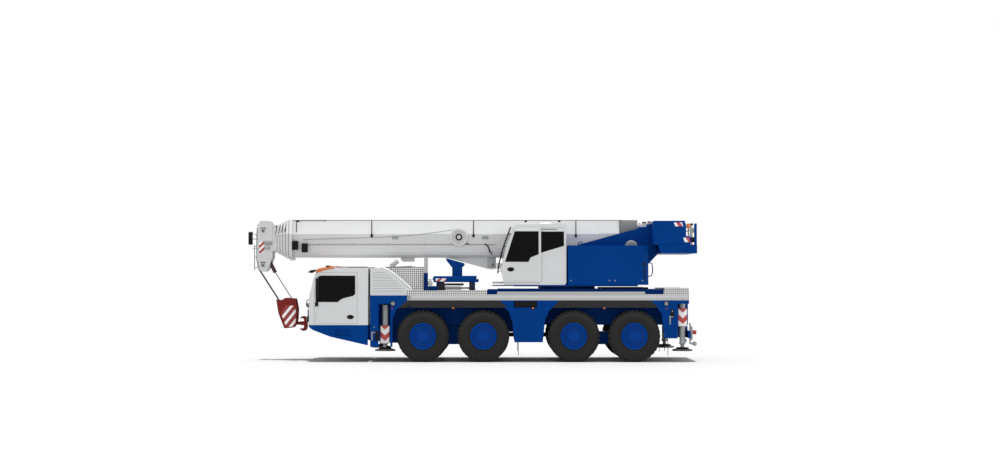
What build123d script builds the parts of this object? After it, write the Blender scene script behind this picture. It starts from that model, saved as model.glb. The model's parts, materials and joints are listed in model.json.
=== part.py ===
from build123d import *
import os
from math import atan2, cos, degrees, hypot, sin

# Four-axle mobile crane, millimetres, +Z up, front toward -X, operator's side toward -Y.
# The origin is on the ground at the middle of the overall length.

# Overall sizes
TAIL_REACH = 3549.0
HEAD_REACH = 8990.0
BODY_HALF = 1275.0
SLEW_X = (HEAD_REACH - TAIL_REACH) / 2
GAP = 0.3
CLEAR = 6.0

# Wheels and axles
WHEEL_RADIUS = 712.0
TYRE_WIDTH = 420.0
TYRE_OUTER_Y = BODY_HALF + 15.0
RIM_RADIUS = 330.0
WHEEL_SIDES = 48
BOGIE = 1665.0
MIDDLE = 2485.0
AXLE_3 = SLEW_X + 145.0
AXLE_4 = AXLE_3 + BOGIE
AXLE_2 = AXLE_3 - MIDDLE
AXLE_1 = AXLE_2 - BOGIE
AXLES = (AXLE_1, AXLE_2, AXLE_3, AXLE_4)
WHEEL_Y = TYRE_OUTER_Y - TYRE_WIDTH / 2
KINGPIN_Y = WHEEL_Y - 130.0
HUB_FACE = TYRE_WIDTH / 2 - 118.0

# Heights, each standing on the one below
AXLE_Z = WHEEL_RADIUS
ARCH_Z = 2 * WHEEL_RADIUS + 73.0
FENDER_TOP = ARCH_Z + 198.0
DECK_EDGE = FENDER_TOP + 135.0
DECK_Z = DECK_EDGE + 135.0
GIRDER_Z0 = AXLE_Z + 288.0
GIRDER_Z1 = FENDER_TOP
GIRDER_HALF = 450.0
RING_SPLIT = DECK_Z + 105.0
PLATFORM_Z0 = RING_SPLIT + 50.0
PLATFORM_Z1 = PLATFORM_Z0 + 60.0
RING_RADIUS = 805.0

# Carrier lengthwise stations
CARRIER_REAR = AXLE_4 + 1504.0
TOW_X = CARRIER_REAR + 140.0
TOW_Z = AXLE_Z + 20.0
TOW_BORE = 25.0
CAB_FRONT = AXLE_1 - 3307.0
CAB_NOSE = CAB_FRONT + 56.0
CAB_REAR = AXLE_1 - 1510.0
CAB_Z0 = AXLE_Z + 306.0
CAB_Z1 = CAB_Z0 + 1580.0
CAB_HALF = BODY_HALF - 25.0
CAB_WALL = 50.0
CAB_HINGE_X = CAB_FRONT + 331.0
CAB_HINGE_Y = CAB_HALF + 16.0
CAB_HINGE_R = 14.0
CAB_HINGE_Z = (CAB_Z0 + 180.0, CAB_Z0 + 560.0)
CAB_HINGE_LENGTH = 90.0
COWL_FRONT = CAB_REAR + 63.0
COWL_SLOTS = 8
COWL_SLOT = 16.0
COWL_SLOT_PITCH = 74.0
COWL_REAR = AXLE_1 - 346.0

# Outriggers
FRONT_JACK_X = AXLE_1 - 1055.0
REAR_JACK_X = AXLE_4 + 1350.0
JACK_PITCH = 270.0
JACK_Y = BODY_HALF - 290.0
JACK_RADIUS = 73.0
JACK_ROD = 52.0
PAD_RADIUS = 280.0
PAD_Z = 300.0
PAD_THICK = 90.0
BEAM_WIDTH = 190.0
BEAM_HEIGHT = 290.0
TUBE_WALL = 22.0
FRONT_BEAM_Z = AXLE_Z + 43.0
REAR_BEAM_Z = AXLE_Z + 513.0

# Boom
PIVOT_X = SLEW_X + 1812.0
PIVOT_Z = PLATFORM_Z0 + 1311.0
BOOM_TOP = PIVOT_Z + 499.0
BOOM_BOTTOM = PIVOT_Z - 544.0
BOOM_HALF = 400.0
BOOM_FLAT_TOP = 300.0
BOOM_FLAT_BOTTOM = 130.0
BOOM_SHOULDER = BOOM_TOP - 383.0
BOOM_CORNER = 270.0
BOOM_STEP = 33.0
BOOM_WALL = 12.0
BOOM_REAR = PIVOT_X + 171.0
BASE_FRONT = SLEW_X - 7813.0
COLLAR_PITCH = 87.0
COLLAR_LENGTH = 66.0
COLLAR_PROUD = 78.0
SECTIONS = 5
TELESCOPE = 8000.0
HEAD_REAR = SLEW_X - 8308.0
HEAD_FRONT = SLEW_X - 8741.0
HEAD_TOP = BOOM_TOP - 6.0
HEAD_BOTTOM = BOOM_BOTTOM - 401.0
HEAD_HALF = 225.0
SHEAVE_UP = (SLEW_X - 8572.0, BOOM_TOP - 282.0)
SHEAVE_LOW = (SLEW_X - 8567.0, BOOM_BOTTOM - 213.0)
SHEAVE_RADIUS = 179.0
ROPE_RADIUS = 12.0

# Lift cylinder
EYE = (SLEW_X - 2109.0, BOOM_BOTTOM - 218.0)
FOOT = (SLEW_X + 980.0, PLATFORM_Z1 + 177.0)
BARREL_RADIUS = 165.0
PISTON_RADIUS = 118.0

# Superstructure
CHEEK_IN = 460.0
CHEEK_OUT = 520.0
HOUSE_HALF = BODY_HALF - 25.0
HOUSE_REAR = SLEW_X + 2215.0
HOUSE_TOP = PLATFORM_Z0 + 1090.0
TAIL_X = SLEW_X + TAIL_REACH
DRUM = (SLEW_X + 2790.0, PIVOT_Z + 80.0)
TAIL_HALF = HOUSE_HALF - 30.0
OPS_OUT = -HOUSE_HALF
OPS_IN = -455.0
OPS_WALL = 40.0
OPS_Z0 = PLATFORM_Z0


def box(x0, x1, y0, y1, z0, z1):
    return Pos((x0 + x1) / 2, (y0 + y1) / 2, (z0 + z1) / 2) * Box(x1 - x0, y1 - y0, z1 - z0)


def side(points, y0, y1):
    face = make_face(Polyline(*[(x, y0, z) for x, z in points], close=True))
    return extrude(face, amount=y1 - y0, dir=(0, 1, 0))


def plan(points, z0, z1):
    face = make_face(Polyline(*[(x, y, z0) for x, y in points], close=True))
    return extrude(face, amount=z1 - z0, dir=(0, 0, 1))


def across(points, x0, x1):
    face = make_face(Polyline(*[(x0, y, z) for y, z in points], close=True))
    return extrude(face, amount=x1 - x0, dir=(1, 0, 0))


def rod_x(y, z, r, x0, x1):
    return Pos((x0 + x1) / 2, y, z) * (Rot(0, 90, 0) * Cylinder(r, x1 - x0))


def rod_y(x, z, r, y0, y1):
    return Pos(x, (y0 + y1) / 2, z) * (Rot(90, 0, 0) * Cylinder(r, y1 - y0))


def rod_z(x, y, r, z0, z1):
    return Pos(x, y, (z0 + z1) / 2) * Cylinder(r, z1 - z0)


def strut(p, q, r):
    start = Vector(*p)
    run = Vector(*q) - start
    base = Plane(origin=start, z_dir=run.normalized())
    return base * Cylinder(r, run.length, align=(Align.CENTER, Align.CENTER, Align.MIN))


def turned(points, x, y, z):
    # Profile of (radius, offset along the axle) turned about the axle line
    face = make_face(Polyline(*[(r, a, 0) for r, a in points], close=True))
    return Pos(x, y, z) * revolve(face, Axis.Y)


def both(shape):
    return [shape, mirror(shape, about=Plane.XZ)]


def group(*shapes):
    # Separate solids that share one node
    solids = []
    for shape in shapes:
        for item in shape if isinstance(shape, list) else [shape]:
            solids += list(item.solids())
    return Compound(children=solids) if len(solids) > 1 else solids[0]


def inset(points, d):
    # Convex outline moved inward by d on every side
    turn = sum((b[0] - a[0]) * (b[1] + a[1]) for a, b in zip(points, points[1:] + points[:1]))
    sign = 1.0 if turn < 0 else -1.0
    lines = []
    for a, b in zip(points, points[1:] + points[:1]):
        run = hypot(b[0] - a[0], b[1] - a[1])
        nx = -(b[1] - a[1]) / run * sign
        ny = (b[0] - a[0]) / run * sign
        lines.append((a[0] + nx * d, a[1] + ny * d, b[0] - a[0], b[1] - a[1]))
    out = []
    for i in range(len(lines)):
        x1, y1, u1, v1 = lines[i - 1]
        x2, y2, u2, v2 = lines[i]
        k = ((x2 - x1) * v2 - (y2 - y1) * u2) / (u1 * v2 - v1 * u2)
        out.append((x1 + k * u1, y1 + k * v1))
    return out


def ring_mirror(half):
    # Outline in (y, z) from its right half, listed from the bottom up
    return half + [(-y, z) for y, z in reversed(half)]


def boom_outline(d):
    c = BOOM_CORNER
    low = BOOM_BOTTOM + c
    half = [(BOOM_FLAT_BOTTOM, BOOM_BOTTOM)]
    for k in (1, 2, 3):
        a = k * 0.3927
        half.append((BOOM_FLAT_BOTTOM + c * sin(a), low - c * cos(a)))
    half.append((BOOM_HALF, low))
    half.append((BOOM_HALF, BOOM_SHOULDER))
    half.append((BOOM_FLAT_TOP, BOOM_TOP))
    return inset(ring_mirror(half), d)


# Carrier frame
def chassis_frame():
    front = AXLE_1 - 1380
    girder = box(front, CARRIER_REAR, -GIRDER_HALF, GIRDER_HALF, GIRDER_Z0, GIRDER_Z1)
    room = box(front + 30, AXLE_1 - 60, -GIRDER_HALF + 40, GIRDER_HALF - 40, GIRDER_Z0 + 30, GIRDER_Z1 + 1)
    cell = box(AXLE_1, CARRIER_REAR - 40, -GIRDER_HALF + 40, GIRDER_HALF - 40, GIRDER_Z0 + 40,
               GIRDER_Z1 - 40)
    frame = girder - room - cell
    frame += box(AXLE_1 + 30, SLEW_X - 500, -GIRDER_HALF, GIRDER_HALF, GIRDER_Z1 - 1, DECK_Z - 25)
    frame += rod_z(SLEW_X, 0, 860, GIRDER_Z1, DECK_Z)
    frame += rod_z(SLEW_X, 0, RING_RADIUS, DECK_Z - 1, RING_SPLIT - GAP)
    # Drop box and rails that carry the cab
    half_tube = BEAM_HEIGHT / 2 + TUBE_WALL + CLEAR
    frame += box(CAB_REAR + 20, FRONT_JACK_X + 200, -GIRDER_HALF, GIRDER_HALF, FRONT_BEAM_Z - half_tube,
                 GIRDER_Z0 + 1)
    for y in (-360, 360):
        frame += box(CAB_FRONT + 450, CAB_REAR + 21, y - 80, y + 80, AXLE_Z + 100, CAB_Z0 - 20)
    frame += box(CAB_FRONT + 330, CAB_FRONT + 451, -900, 900, AXLE_Z + 190, CAB_Z0 - 20)
    # Two crossing tubes at each end, side by side
    for x, z, step in ((FRONT_JACK_X, FRONT_BEAM_Z, -JACK_PITCH), (REAR_JACK_X, REAR_BEAM_Z, -JACK_PITCH)):
        w = BEAM_WIDTH / 2 + CLEAR + TUBE_WALL
        inner = JACK_Y - JACK_RADIUS - 32
        outer = BODY_HALF - 40
        frame += box(x - w, x + w, -inner, outer, z - half_tube, z + half_tube)
        frame += box(x + step - w, x + step + w, -outer, inner, z - half_tube, z + half_tube)
    for x, z, step in ((FRONT_JACK_X, FRONT_BEAM_Z, -JACK_PITCH), (REAR_JACK_X, REAR_BEAM_Z, -JACK_PITCH)):
        w = BEAM_WIDTH / 2 + CLEAR
        low = z - BEAM_HEIGHT / 2 - GAP
        high = z + BEAM_HEIGHT / 2 + CLEAR
        outer = BODY_HALF - 40
        frame -= box(x - w, x + w, -outer, outer - TUBE_WALL, low, high)
        frame -= box(x + step - w, x + step + w, -outer + TUBE_WALL, outer, low, high)
    # Rear lamp carrier and the engine bearers
    frame += box(CARRIER_REAR - 1, CARRIER_REAR + 60, -1150, 1150, AXLE_Z - 60, AXLE_Z + 140)
    frame += box(CARRIER_REAR - 200, CARRIER_REAR + 60, -GIRDER_HALF, GIRDER_HALF, AXLE_Z - 60,
                 GIRDER_Z0 + 1)
    jaws = []
    for z in (TOW_Z - 80, TOW_Z + 40):
        jaw = box(CARRIER_REAR + 60, TOW_X + 60, -70, 70, z, z + 40)
        jaws.append(jaw - rod_z(TOW_X, 0, TOW_BORE, z - 1, z + 41))
    return group(frame, *jaws)


def drivetrain():
    # Four axles with their struts, joined by the shaft line
    line = rod_x(0, AXLE_Z, 60, AXLE_1 - 60, AXLE_4 + 60)
    for x in AXLES:
        line += box(x - 75, x + 75, -KINGPIN_Y + 60, KINGPIN_Y - 60, AXLE_Z - 85, AXLE_Z + 85)
        line += box(x - 190, x + 190, -200, 200, AXLE_Z - 190, AXLE_Z + 170)
        for y in (-KINGPIN_Y, KINGPIN_Y):
            line += rod_z(x, y, 70, AXLE_Z - 85, AXLE_Z + 85)
        for y in (-360, 360):
            line += rod_z(x, y, 62, AXLE_Z + 60, GIRDER_Z0)
    engine = box(AXLE_1 - 1330, AXLE_1 - 120, -380, 380, GIRDER_Z0 + 30, GIRDER_Z1 + 60)
    return group(line, engine)


def knuckle(x, sign):
    y0 = KINGPIN_Y
    part = rod_z(x, y0, 72, AXLE_Z + 85 + GAP, AXLE_Z + 130)
    part += rod_z(x, y0, 72, AXLE_Z - 130, AXLE_Z - 85 - GAP)
    part += box(x - 72, x + 72, y0, y0 + 130, AXLE_Z + 86, AXLE_Z + 130)
    part += box(x - 72, x + 72, y0, y0 + 130, AXLE_Z - 130, AXLE_Z - 86)
    part += box(x - 72, x + 72, y0 + 90, y0 + 130, AXLE_Z - 130, AXLE_Z + 130)
    part += rod_y(x, AXLE_Z, 210, y0 + 125, y0 + 175)
    part += rod_y(x, AXLE_Z, 58, y0 + 170, WHEEL_Y + HUB_FACE - GAP)
    return part if sign > 0 else mirror(part, about=Plane.XZ)


def wheel(x, sign):
    half = TYRE_WIDTH / 2
    flat = half - 60
    outline = Plane(origin=(x, WHEEL_Y + flat, AXLE_Z), x_dir=(1, 0, 0), z_dir=(0, 1, 0))
    inward = Plane(origin=(x, WHEEL_Y - flat, AXLE_Z), x_dir=(1, 0, 0), z_dir=(0, -1, 0))
    many = RegularPolygon(WHEEL_RADIUS, WHEEL_SIDES, major_radius=False, rotation=180.0 / WHEEL_SIDES)
    tyre = extrude(outline * many, amount=-2 * flat)
    tyre += extrude(outline * many, amount=60, taper=44)
    tyre += extrude(inward * many, amount=60, taper=44)
    tyre -= rod_y(x, AXLE_Z, RIM_RADIUS, WHEEL_Y - half - 1, WHEEL_Y + half + 1)
    r = RIM_RADIUS - GAP
    face = HUB_FACE
    rim = turned(
        [(r, -half + 15), (r, half + GAP), (r + 38, half + GAP), (r + 38, half + 10), (r - 22, half + 10),
         (r - 40, face + 30), (150, face + 45), (150, face + 105), (60, face + 110), (60, face),
         (r - 34, face - 10),
         (r - 24, -half + 15)],
        x, WHEEL_Y, AXLE_Z)
    rim += rod_y(x, AXLE_Z, 61, WHEEL_Y + face, WHEEL_Y + face + 100)
    shape = group(tyre, rim)
    return shape if sign > 0 else mirror(shape, about=Plane.XZ)


# Carrier bodywork
def jack_slot(x):
    return box(x - 165, x + 165, -BODY_HALF - 50, -BODY_HALF + 300, 0, AXLE_Z + 890)


def body_skirts():
    y0, y1 = -BODY_HALF, -BODY_HALF + 40
    reach = WHEEL_RADIUS + 122
    front = side([(COWL_FRONT, AXLE_Z - 290), (COWL_FRONT, DECK_EDGE), (COWL_REAR - 90, DECK_EDGE),
                  (COWL_REAR - 90, FENDER_TOP - 60), (AXLE_1 - reach + 90, ARCH_Z - 60),
                  (AXLE_1 - reach, ARCH_Z - 330),
                  (AXLE_1 - reach, AXLE_Z - 290)], y0, y1)
    front_right = mirror(front - jack_slot(FRONT_JACK_X - JACK_PITCH), about=Plane.XZ)
    front -= jack_slot(FRONT_JACK_X)
    mid0, mid1 = AXLE_2 + reach, AXLE_3 - reach
    tank = side([(mid0 + 20, AXLE_Z - 166), (mid0, AXLE_Z), (mid0 - 75, ARCH_Z), (mid0 - 75, FENDER_TOP),
                 (mid1 + 75, FENDER_TOP), (mid1 + 75, ARCH_Z), (mid1, AXLE_Z), (mid1 - 20, AXLE_Z - 166)],
                y0, -GIRDER_HALF)
    tank -= box(mid0 + 5, mid1 - 180, y0 - 1, y0 + 60, ARCH_Z + 3, FENDER_TOP + 1)
    rear = side([(AXLE_4 + reach, AXLE_Z - 60), (AXLE_4 + reach - 110, ARCH_Z),
                 (AXLE_4 + reach - 110, FENDER_TOP),
                 (CARRIER_REAR, FENDER_TOP), (CARRIER_REAR, AXLE_Z - 60)], y0, y1)
    rear_right = mirror(rear - jack_slot(REAR_JACK_X - JACK_PITCH), about=Plane.XZ)
    rear -= jack_slot(REAR_JACK_X)
    # Lower apron of the cab, front corner rounded in plan
    low = [(CAB_NOSE + 40, CAB_Z0 - 30), (CAB_NOSE + 210, CAB_Z0 - 130), (CAB_NOSE + 700, CAB_Z0 - 320),
           (CAB_REAR - 5, CAB_Z0 - 558), (CAB_REAR - 5, CAB_Z0), (CAB_NOSE + 40, CAB_Z0)]
    apron = side(low, -CAB_HALF, CAB_HALF) & plan(cab_plan(0), 0, CAB_Z1)
    inside = box(CAB_FRONT + 250, CAB_REAR + 1, -CAB_HALF + 60, CAB_HALF - 60, 0, CAB_Z0 - 20)
    apron -= inside
    for s in (-1, 1):
        apron -= box(CAB_REAR - 900, CAB_REAR - 500, s * CAB_HALF - 45, s * CAB_HALF + 45, CAB_Z0 - 300,
                     CAB_Z0 - 130)
    return group(front, front_right, both(tank), rear, rear_right, apron)


def fenders():
    shapes = []
    for x0, x1 in ((COWL_REAR - 88, AXLE_2 + 755), (AXLE_3 - 755, AXLE_4 + WHEEL_RADIUS + 10)):
        lip = side([(x0, ARCH_Z + 70), (x0 + 80, ARCH_Z), (x1 - 80, ARCH_Z), (x1, FENDER_TOP),
                    (x0, FENDER_TOP)], -BODY_HALF + 5, -BODY_HALF + 40)
        lip += box(x0 + 20, x1 - 20, -BODY_HALF + 39, -GIRDER_HALF, FENDER_TOP - 30, FENDER_TOP)
        shapes += both(lip)
    return group(shapes)


def deck_plates():
    x0, x1 = COWL_REAR - 88, CARRIER_REAR
    profile = [(-BODY_HALF - 5, FENDER_TOP), (-BODY_HALF - 5, DECK_EDGE), (-BODY_HALF + 5, DECK_EDGE),
               (-BODY_HALF + 5, DECK_Z),
               (-GIRDER_HALF - 10, DECK_Z), (-GIRDER_HALF - 10, FENDER_TOP),
               (-GIRDER_HALF - 40, FENDER_TOP),
               (-GIRDER_HALF - 40, DECK_Z - 25), (-BODY_HALF + 35, DECK_Z - 25),
               (-BODY_HALF + 35, FENDER_TOP)]
    plate = across(profile, x0, x1) - rod_z(SLEW_X, 0, 875, 0, DECK_Z + 100)
    plate -= box(AXLE_2 + 105, AXLE_4 + 810, -BODY_HALF - 20, -BODY_HALF + 4, DECK_EDGE, DECK_Z + 1)
    kerb = box(AXLE_4 + 820, CARRIER_REAR - 4, -BODY_HALF + 6, -GIRDER_HALF - 10, DECK_Z, DECK_Z + 70)
    plate += kerb
    rear_cap = box(CARRIER_REAR - 330, CARRIER_REAR, -GIRDER_HALF - 9, GIRDER_HALF + 9, GIRDER_Z1, DECK_Z)
    house_x0, house_x1 = COWL_FRONT + 292, AXLE_1 + 20
    house_half = CAB_HALF - 300
    house = box(house_x0, house_x1, -house_half, house_half, DECK_EDGE, DECK_Z + 655)
    house -= box(house_x0 + 25, house_x1 - 25, -house_half + 25, house_half - 25, DECK_EDGE - 1,
                 DECK_Z + 630)
    return group(both(plate), rear_cap, house)


def boom_rest():
    # Rest stays under the boom's fin so the boom slews over it
    foot = DECK_Z - 25
    table = DECK_Z + 228
    rest = box(AXLE_1 + 251, AXLE_1 + 1515, -430, 430, table, table + 90)
    rest += box(AXLE_1 + 771, AXLE_1 + 1450, -330, 330, table + 89, table + 182)
    for x in (AXLE_1 + 330, AXLE_1 + 1330):
        for y in (-380, 300):
            rest += box(x, x + 80, y, y + 80, foot, table + 1)
    top = BOOM_BOTTOM - 12
    for s in (-1, 1):
        y0, y1 = sorted((s * 120, s * 260))
        rest += box(AXLE_1 + 771, AXLE_1 + 1046, y0, y1, table + 181, BOOM_BOTTOM - 170)
        rest += side([(AXLE_1 + 601, top - 60), (AXLE_1 + 601, top), (AXLE_1 + 1109, top - 146),
                      (AXLE_1 + 1109, top - 206),
                      (AXLE_1 + 1050, top - 260), (AXLE_1 + 760, top - 260)], y0, y1)
    rest += box(AXLE_1 + 790, AXLE_1 + 1030, -121, 121, table + 181, table + 260)
    return rest


def engine_cowl():
    z0 = DECK_EDGE
    slope = [(COWL_FRONT + 276, CAB_Z1 - 12), (COWL_FRONT + 402, CAB_Z1 - 50),
             (COWL_FRONT + 592, CAB_Z1 - 165),
             (COWL_FRONT + 804, CAB_Z1 - 335), (COWL_REAR - 88, DECK_Z + 108), (COWL_REAR, DECK_Z + 20)]
    curve = [(COWL_FRONT, z0), (COWL_FRONT, CAB_Z1 - 12)] + slope
    curve += [(COWL_REAR, DECK_Z), (COWL_REAR - 89, DECK_Z), (COWL_REAR - 89, z0)]
    cowl = side(curve, -CAB_HALF, CAB_HALF)
    cowl -= box(COWL_FRONT + 291, COWL_REAR + 1, -951, 951, z0 - 1, CAB_Z1)
    # Air slots end a hand short of the sloping edge
    for k in range(COWL_SLOTS):
        z = z0 + 110 + COWL_SLOT_PITCH * k
        end = COWL_REAR - 200
        for (xa, za), (xb, zb) in zip(slope, slope[1:]):
            if zb <= z + COWL_SLOT <= za:
                end = xa + (xb - xa) * (za - z - COWL_SLOT) / (za - zb) - 110
        for y in (-CAB_HALF, CAB_HALF):
            cowl -= box(COWL_FRONT + 60, end, y - 10, y + 10, z, z + COWL_SLOT)
    return cowl


def exhaust():
    x = COWL_FRONT + 560
    z = DECK_Z + 655
    pipe = rod_z(x, -600, 75, z, z + 90)
    pipe += strut((x, -600, z + 60), (x + 150, -600, z + 175), 70)
    post = rod_z(AXLE_1 + 75, -1100, 50, DECK_Z, BOOM_BOTTOM - 20)
    return group(pipe, post)


def cab_plan(d):
    # Outline from above, front corners swept back
    half = CAB_HALF - d
    nose = CAB_NOSE + d
    right = [(nose, 350), (nose + 50, 800), (nose + 110, half - 120), (nose + 234, half),
             (CAB_REAR - d, half)]
    return right + [(x, -y) for x, y in reversed(right)]


def cab_side(d):
    outline = [(CAB_NOSE, CAB_Z0), (CAB_NOSE, CAB_Z0 + 560), (CAB_NOSE + 159, CAB_Z0 + 967),
               (CAB_NOSE + 221, CAB_Z0 + 1221), (CAB_NOSE + 289, CAB_Z1 - 160),
               (CAB_NOSE + 384, CAB_Z1 - 45),
               (CAB_NOSE + 584, CAB_Z1), (CAB_REAR, CAB_Z1), (CAB_REAR, CAB_Z0)]
    return inset(outline, d)


def cab_door_line(d):
    x0 = CAB_FRONT + 313
    x1 = CAB_FRONT + 1502
    line = [(x0, CAB_Z0 + 30), (x0, CAB_Z0 + 690), (x0 + 50, CAB_Z0 + 1230), (x0 + 100, CAB_Z1 - 200),
            (x0 + 190, CAB_Z1 - 138), (x1, CAB_Z1 - 138), (x1, CAB_Z0 + 30)]
    return inset(line, d)


CAB_WINDOW = [(CAB_FRONT + 366, CAB_Z0 + 642), (CAB_FRONT + 962, CAB_Z0 + 642),
              (CAB_FRONT + 1030, CAB_Z0 + 705),
              (CAB_FRONT + 1127, CAB_Z0 + 752), (CAB_FRONT + 1380, CAB_Z0 + 812),
              (CAB_FRONT + 1432, CAB_Z0 + 860),
              (CAB_FRONT + 1432, CAB_Z0 + 1348), (CAB_FRONT + 490, CAB_Z0 + 1348),
              (CAB_FRONT + 430, CAB_Z0 + 1315),
              (CAB_FRONT + 400, CAB_Z0 + 1230), (CAB_FRONT + 374, CAB_Z0 + 985)]
CAB_SCREEN = [(-1040, CAB_Z0 + 560), (1040, CAB_Z0 + 560), (980, CAB_Z1 - 210), (-980, CAB_Z1 - 210)]


def cab_hull(d):
    return side(cab_side(d), -CAB_HALF + d, CAB_HALF - d) & plan(cab_plan(d), CAB_Z0 + d, CAB_Z1 - d)


def carrier_cab_shell():
    shell = cab_hull(0) - cab_hull(CAB_WALL)
    shell -= side(cab_door_line(0), -CAB_HALF - 1, -CAB_HALF + CAB_WALL + 12)
    shell -= side(cab_door_line(0), CAB_HALF - CAB_WALL - 12, CAB_HALF + 1)
    shell -= across(CAB_SCREEN, CAB_FRONT - 10, CAB_FRONT + 600)
    shell -= across([(-700, CAB_Z0 + 800), (700, CAB_Z0 + 800), (700, CAB_Z1 - 220), (-700, CAB_Z1 - 220)],
                    CAB_REAR - CAB_WALL - 1, CAB_REAR + 1)
    for z in CAB_HINGE_Z:
        for z0, z1 in ((z - 40, z - GAP), (z + CAB_HINGE_LENGTH + GAP, z + CAB_HINGE_LENGTH + 40)):
            lug = rod_z(CAB_HINGE_X, -CAB_HINGE_Y, CAB_HINGE_R, z0, z1)
            lug += box(CAB_FRONT + 294, CAB_HINGE_X, -CAB_HINGE_Y - 8, -CAB_HINGE_Y + 8, z0, z1)
            lug += box(CAB_FRONT + 294, CAB_FRONT + 312, -CAB_HINGE_Y, -CAB_HALF + 1, z0, z1)
            shell += lug + mirror(lug, about=Plane.XZ)
    return shell


def carrier_cab_glass():
    pane = (cab_hull(15) - cab_hull(27)) & across(inset(CAB_SCREEN, GAP), CAB_FRONT - 10, CAB_FRONT + 600)
    back = across(inset([(-700, CAB_Z0 + 800), (700, CAB_Z0 + 800), (700, CAB_Z1 - 220),
                         (-700, CAB_Z1 - 220)], GAP),
                  CAB_REAR - 30, CAB_REAR - 20)
    return group(pane, back)


def carrier_cab_interior():
    floor = CAB_Z0 + CAB_WALL
    shapes = []
    for y in (-640, 640):
        seat = box(CAB_FRONT + 900, CAB_FRONT + 1380, y - 230, y + 230, floor + 330, floor + 450)
        seat += side([(CAB_FRONT + 1300, floor + 440), (CAB_FRONT + 1420, floor + 440),
                      (CAB_FRONT + 1560, floor + 1080),
                      (CAB_FRONT + 1460, floor + 1100)], y - 220, y + 220)
        seat += box(CAB_FRONT + 960, CAB_FRONT + 1320, y - 160, y + 160, floor, floor + 331)
        shapes.append(seat)
    dash = side([(CAB_FRONT + 180, floor), (CAB_FRONT + 180, floor + 420), (CAB_FRONT + 400, floor + 560),
                 (CAB_FRONT + 520, floor + 470), (CAB_FRONT + 420, floor)], -900, 900)
    post = strut((CAB_FRONT + 420, -640, floor + 420), (CAB_FRONT + 715, -640, floor + 715), 32)
    tilt = Plane(origin=(CAB_FRONT + 715, -640, floor + 715), z_dir=(1, 0, 1))
    hoop = tilt * (Cylinder(225, 26) - Cylinder(198, 40) + Box(410, 36, 20))
    shapes.append(dash + post + hoop)
    return group(shapes)


def carrier_door():
    skin = box(CAB_FRONT, CAB_REAR, -CAB_HALF, -CAB_HALF + CAB_WALL, CAB_Z0, CAB_Z1)
    door = skin & side(cab_door_line(CLEAR), -CAB_HALF - 1, -CAB_HALF + CAB_WALL + 1)
    door -= side(CAB_WINDOW, -CAB_HALF - 1, -CAB_HALF + CAB_WALL + 1)
    door -= Pos(CAB_FRONT + 1312, -CAB_HALF, CAB_Z0 + 220) * (Rot(90, 0, 0) * Cylinder(60, 40))
    for z in CAB_HINGE_Z:
        door += rod_z(CAB_HINGE_X, -CAB_HINGE_Y, CAB_HINGE_R, z, z + CAB_HINGE_LENGTH)
        door += box(CAB_HINGE_X, CAB_HINGE_X + 40, -CAB_HINGE_Y - 8, -CAB_HALF + 1, z, z + CAB_HINGE_LENGTH)
    return door


def carrier_door_glass():
    return side(inset_window(CAB_WINDOW), -CAB_HALF + 18, -CAB_HALF + 26)


def inset_window(points):
    # Window outline drawn in toward its middle by the seating gap
    cx = (min(x for x, z in points) + max(x for x, z in points)) / 2
    cz = (min(z for x, z in points) + max(z for x, z in points)) / 2
    return [(cx + (x - cx) * 0.9993, cz + (z - cz) * 0.9993) for x, z in points]


def lamps():
    y = -CAB_HALF
    head = box(CAB_FRONT + 58, CAB_FRONT + 170, -880, -560, CAB_Z0 + 80, CAB_Z0 + 240)
    head -= cab_hull(0)
    beacon = rod_z(CAB_NOSE + 520, y + 260, 75, CAB_Z1 - 120, CAB_Z1 + 30)
    beacon -= cab_hull(0)
    work = rod_y(AXLE_1 - 822, FENDER_TOP - 88, 62, -BODY_HALF - 24, -BODY_HALF)
    tail = box(CARRIER_REAR + 60, CARRIER_REAR + 110, -1120, -760, AXLE_Z - 20, AXLE_Z + 100)
    return group(both(head), both(beacon), both(work), both(tail))


# Outriggers
def outrigger_beam(x, z, sign, barrel_top):
    half = BEAM_HEIGHT / 2
    end = -JACK_Y + JACK_RADIUS - 20
    beam = box(x - BEAM_WIDTH / 2, x + BEAM_WIDTH / 2, end, BODY_HALF - 80, z - half, z + half)
    beam -= box(x - BEAM_WIDTH / 2 + 14, x + BEAM_WIDTH / 2 - 14, end + 40, BODY_HALF, z - half + 14,
                z + half - 14)
    low = PAD_Z + PAD_THICK + 90
    barrel = rod_z(x, -JACK_Y, JACK_RADIUS, low, barrel_top)
    plate = box(x - 128, x + 128, -JACK_Y - JACK_RADIUS - 26, -JACK_Y - JACK_RADIUS - 14, z - 250, z + 250)
    stay = box(x - 40, x + 40, -JACK_Y - JACK_RADIUS - 15, -JACK_Y, z - 60, z + 60)
    shape = beam + barrel + plate + stay - rod_z(x, -JACK_Y, JACK_ROD + 1, low - 1, barrel_top - 30)
    return shape if sign < 0 else mirror(shape, about=Plane.XZ)


def jack(x, sign, barrel_top):
    rod = rod_z(x, -JACK_Y, JACK_ROD + 1 - GAP, PAD_Z + PAD_THICK - 1, barrel_top - 60)
    pad = rod_z(x, -JACK_Y, PAD_RADIUS, PAD_Z, PAD_Z + 40) + rod_z(x, -JACK_Y, PAD_RADIUS - 110, PAD_Z + 39,
                                                                   PAD_Z + PAD_THICK)
    shape = rod + pad
    return shape if sign < 0 else mirror(shape, about=Plane.XZ)


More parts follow.
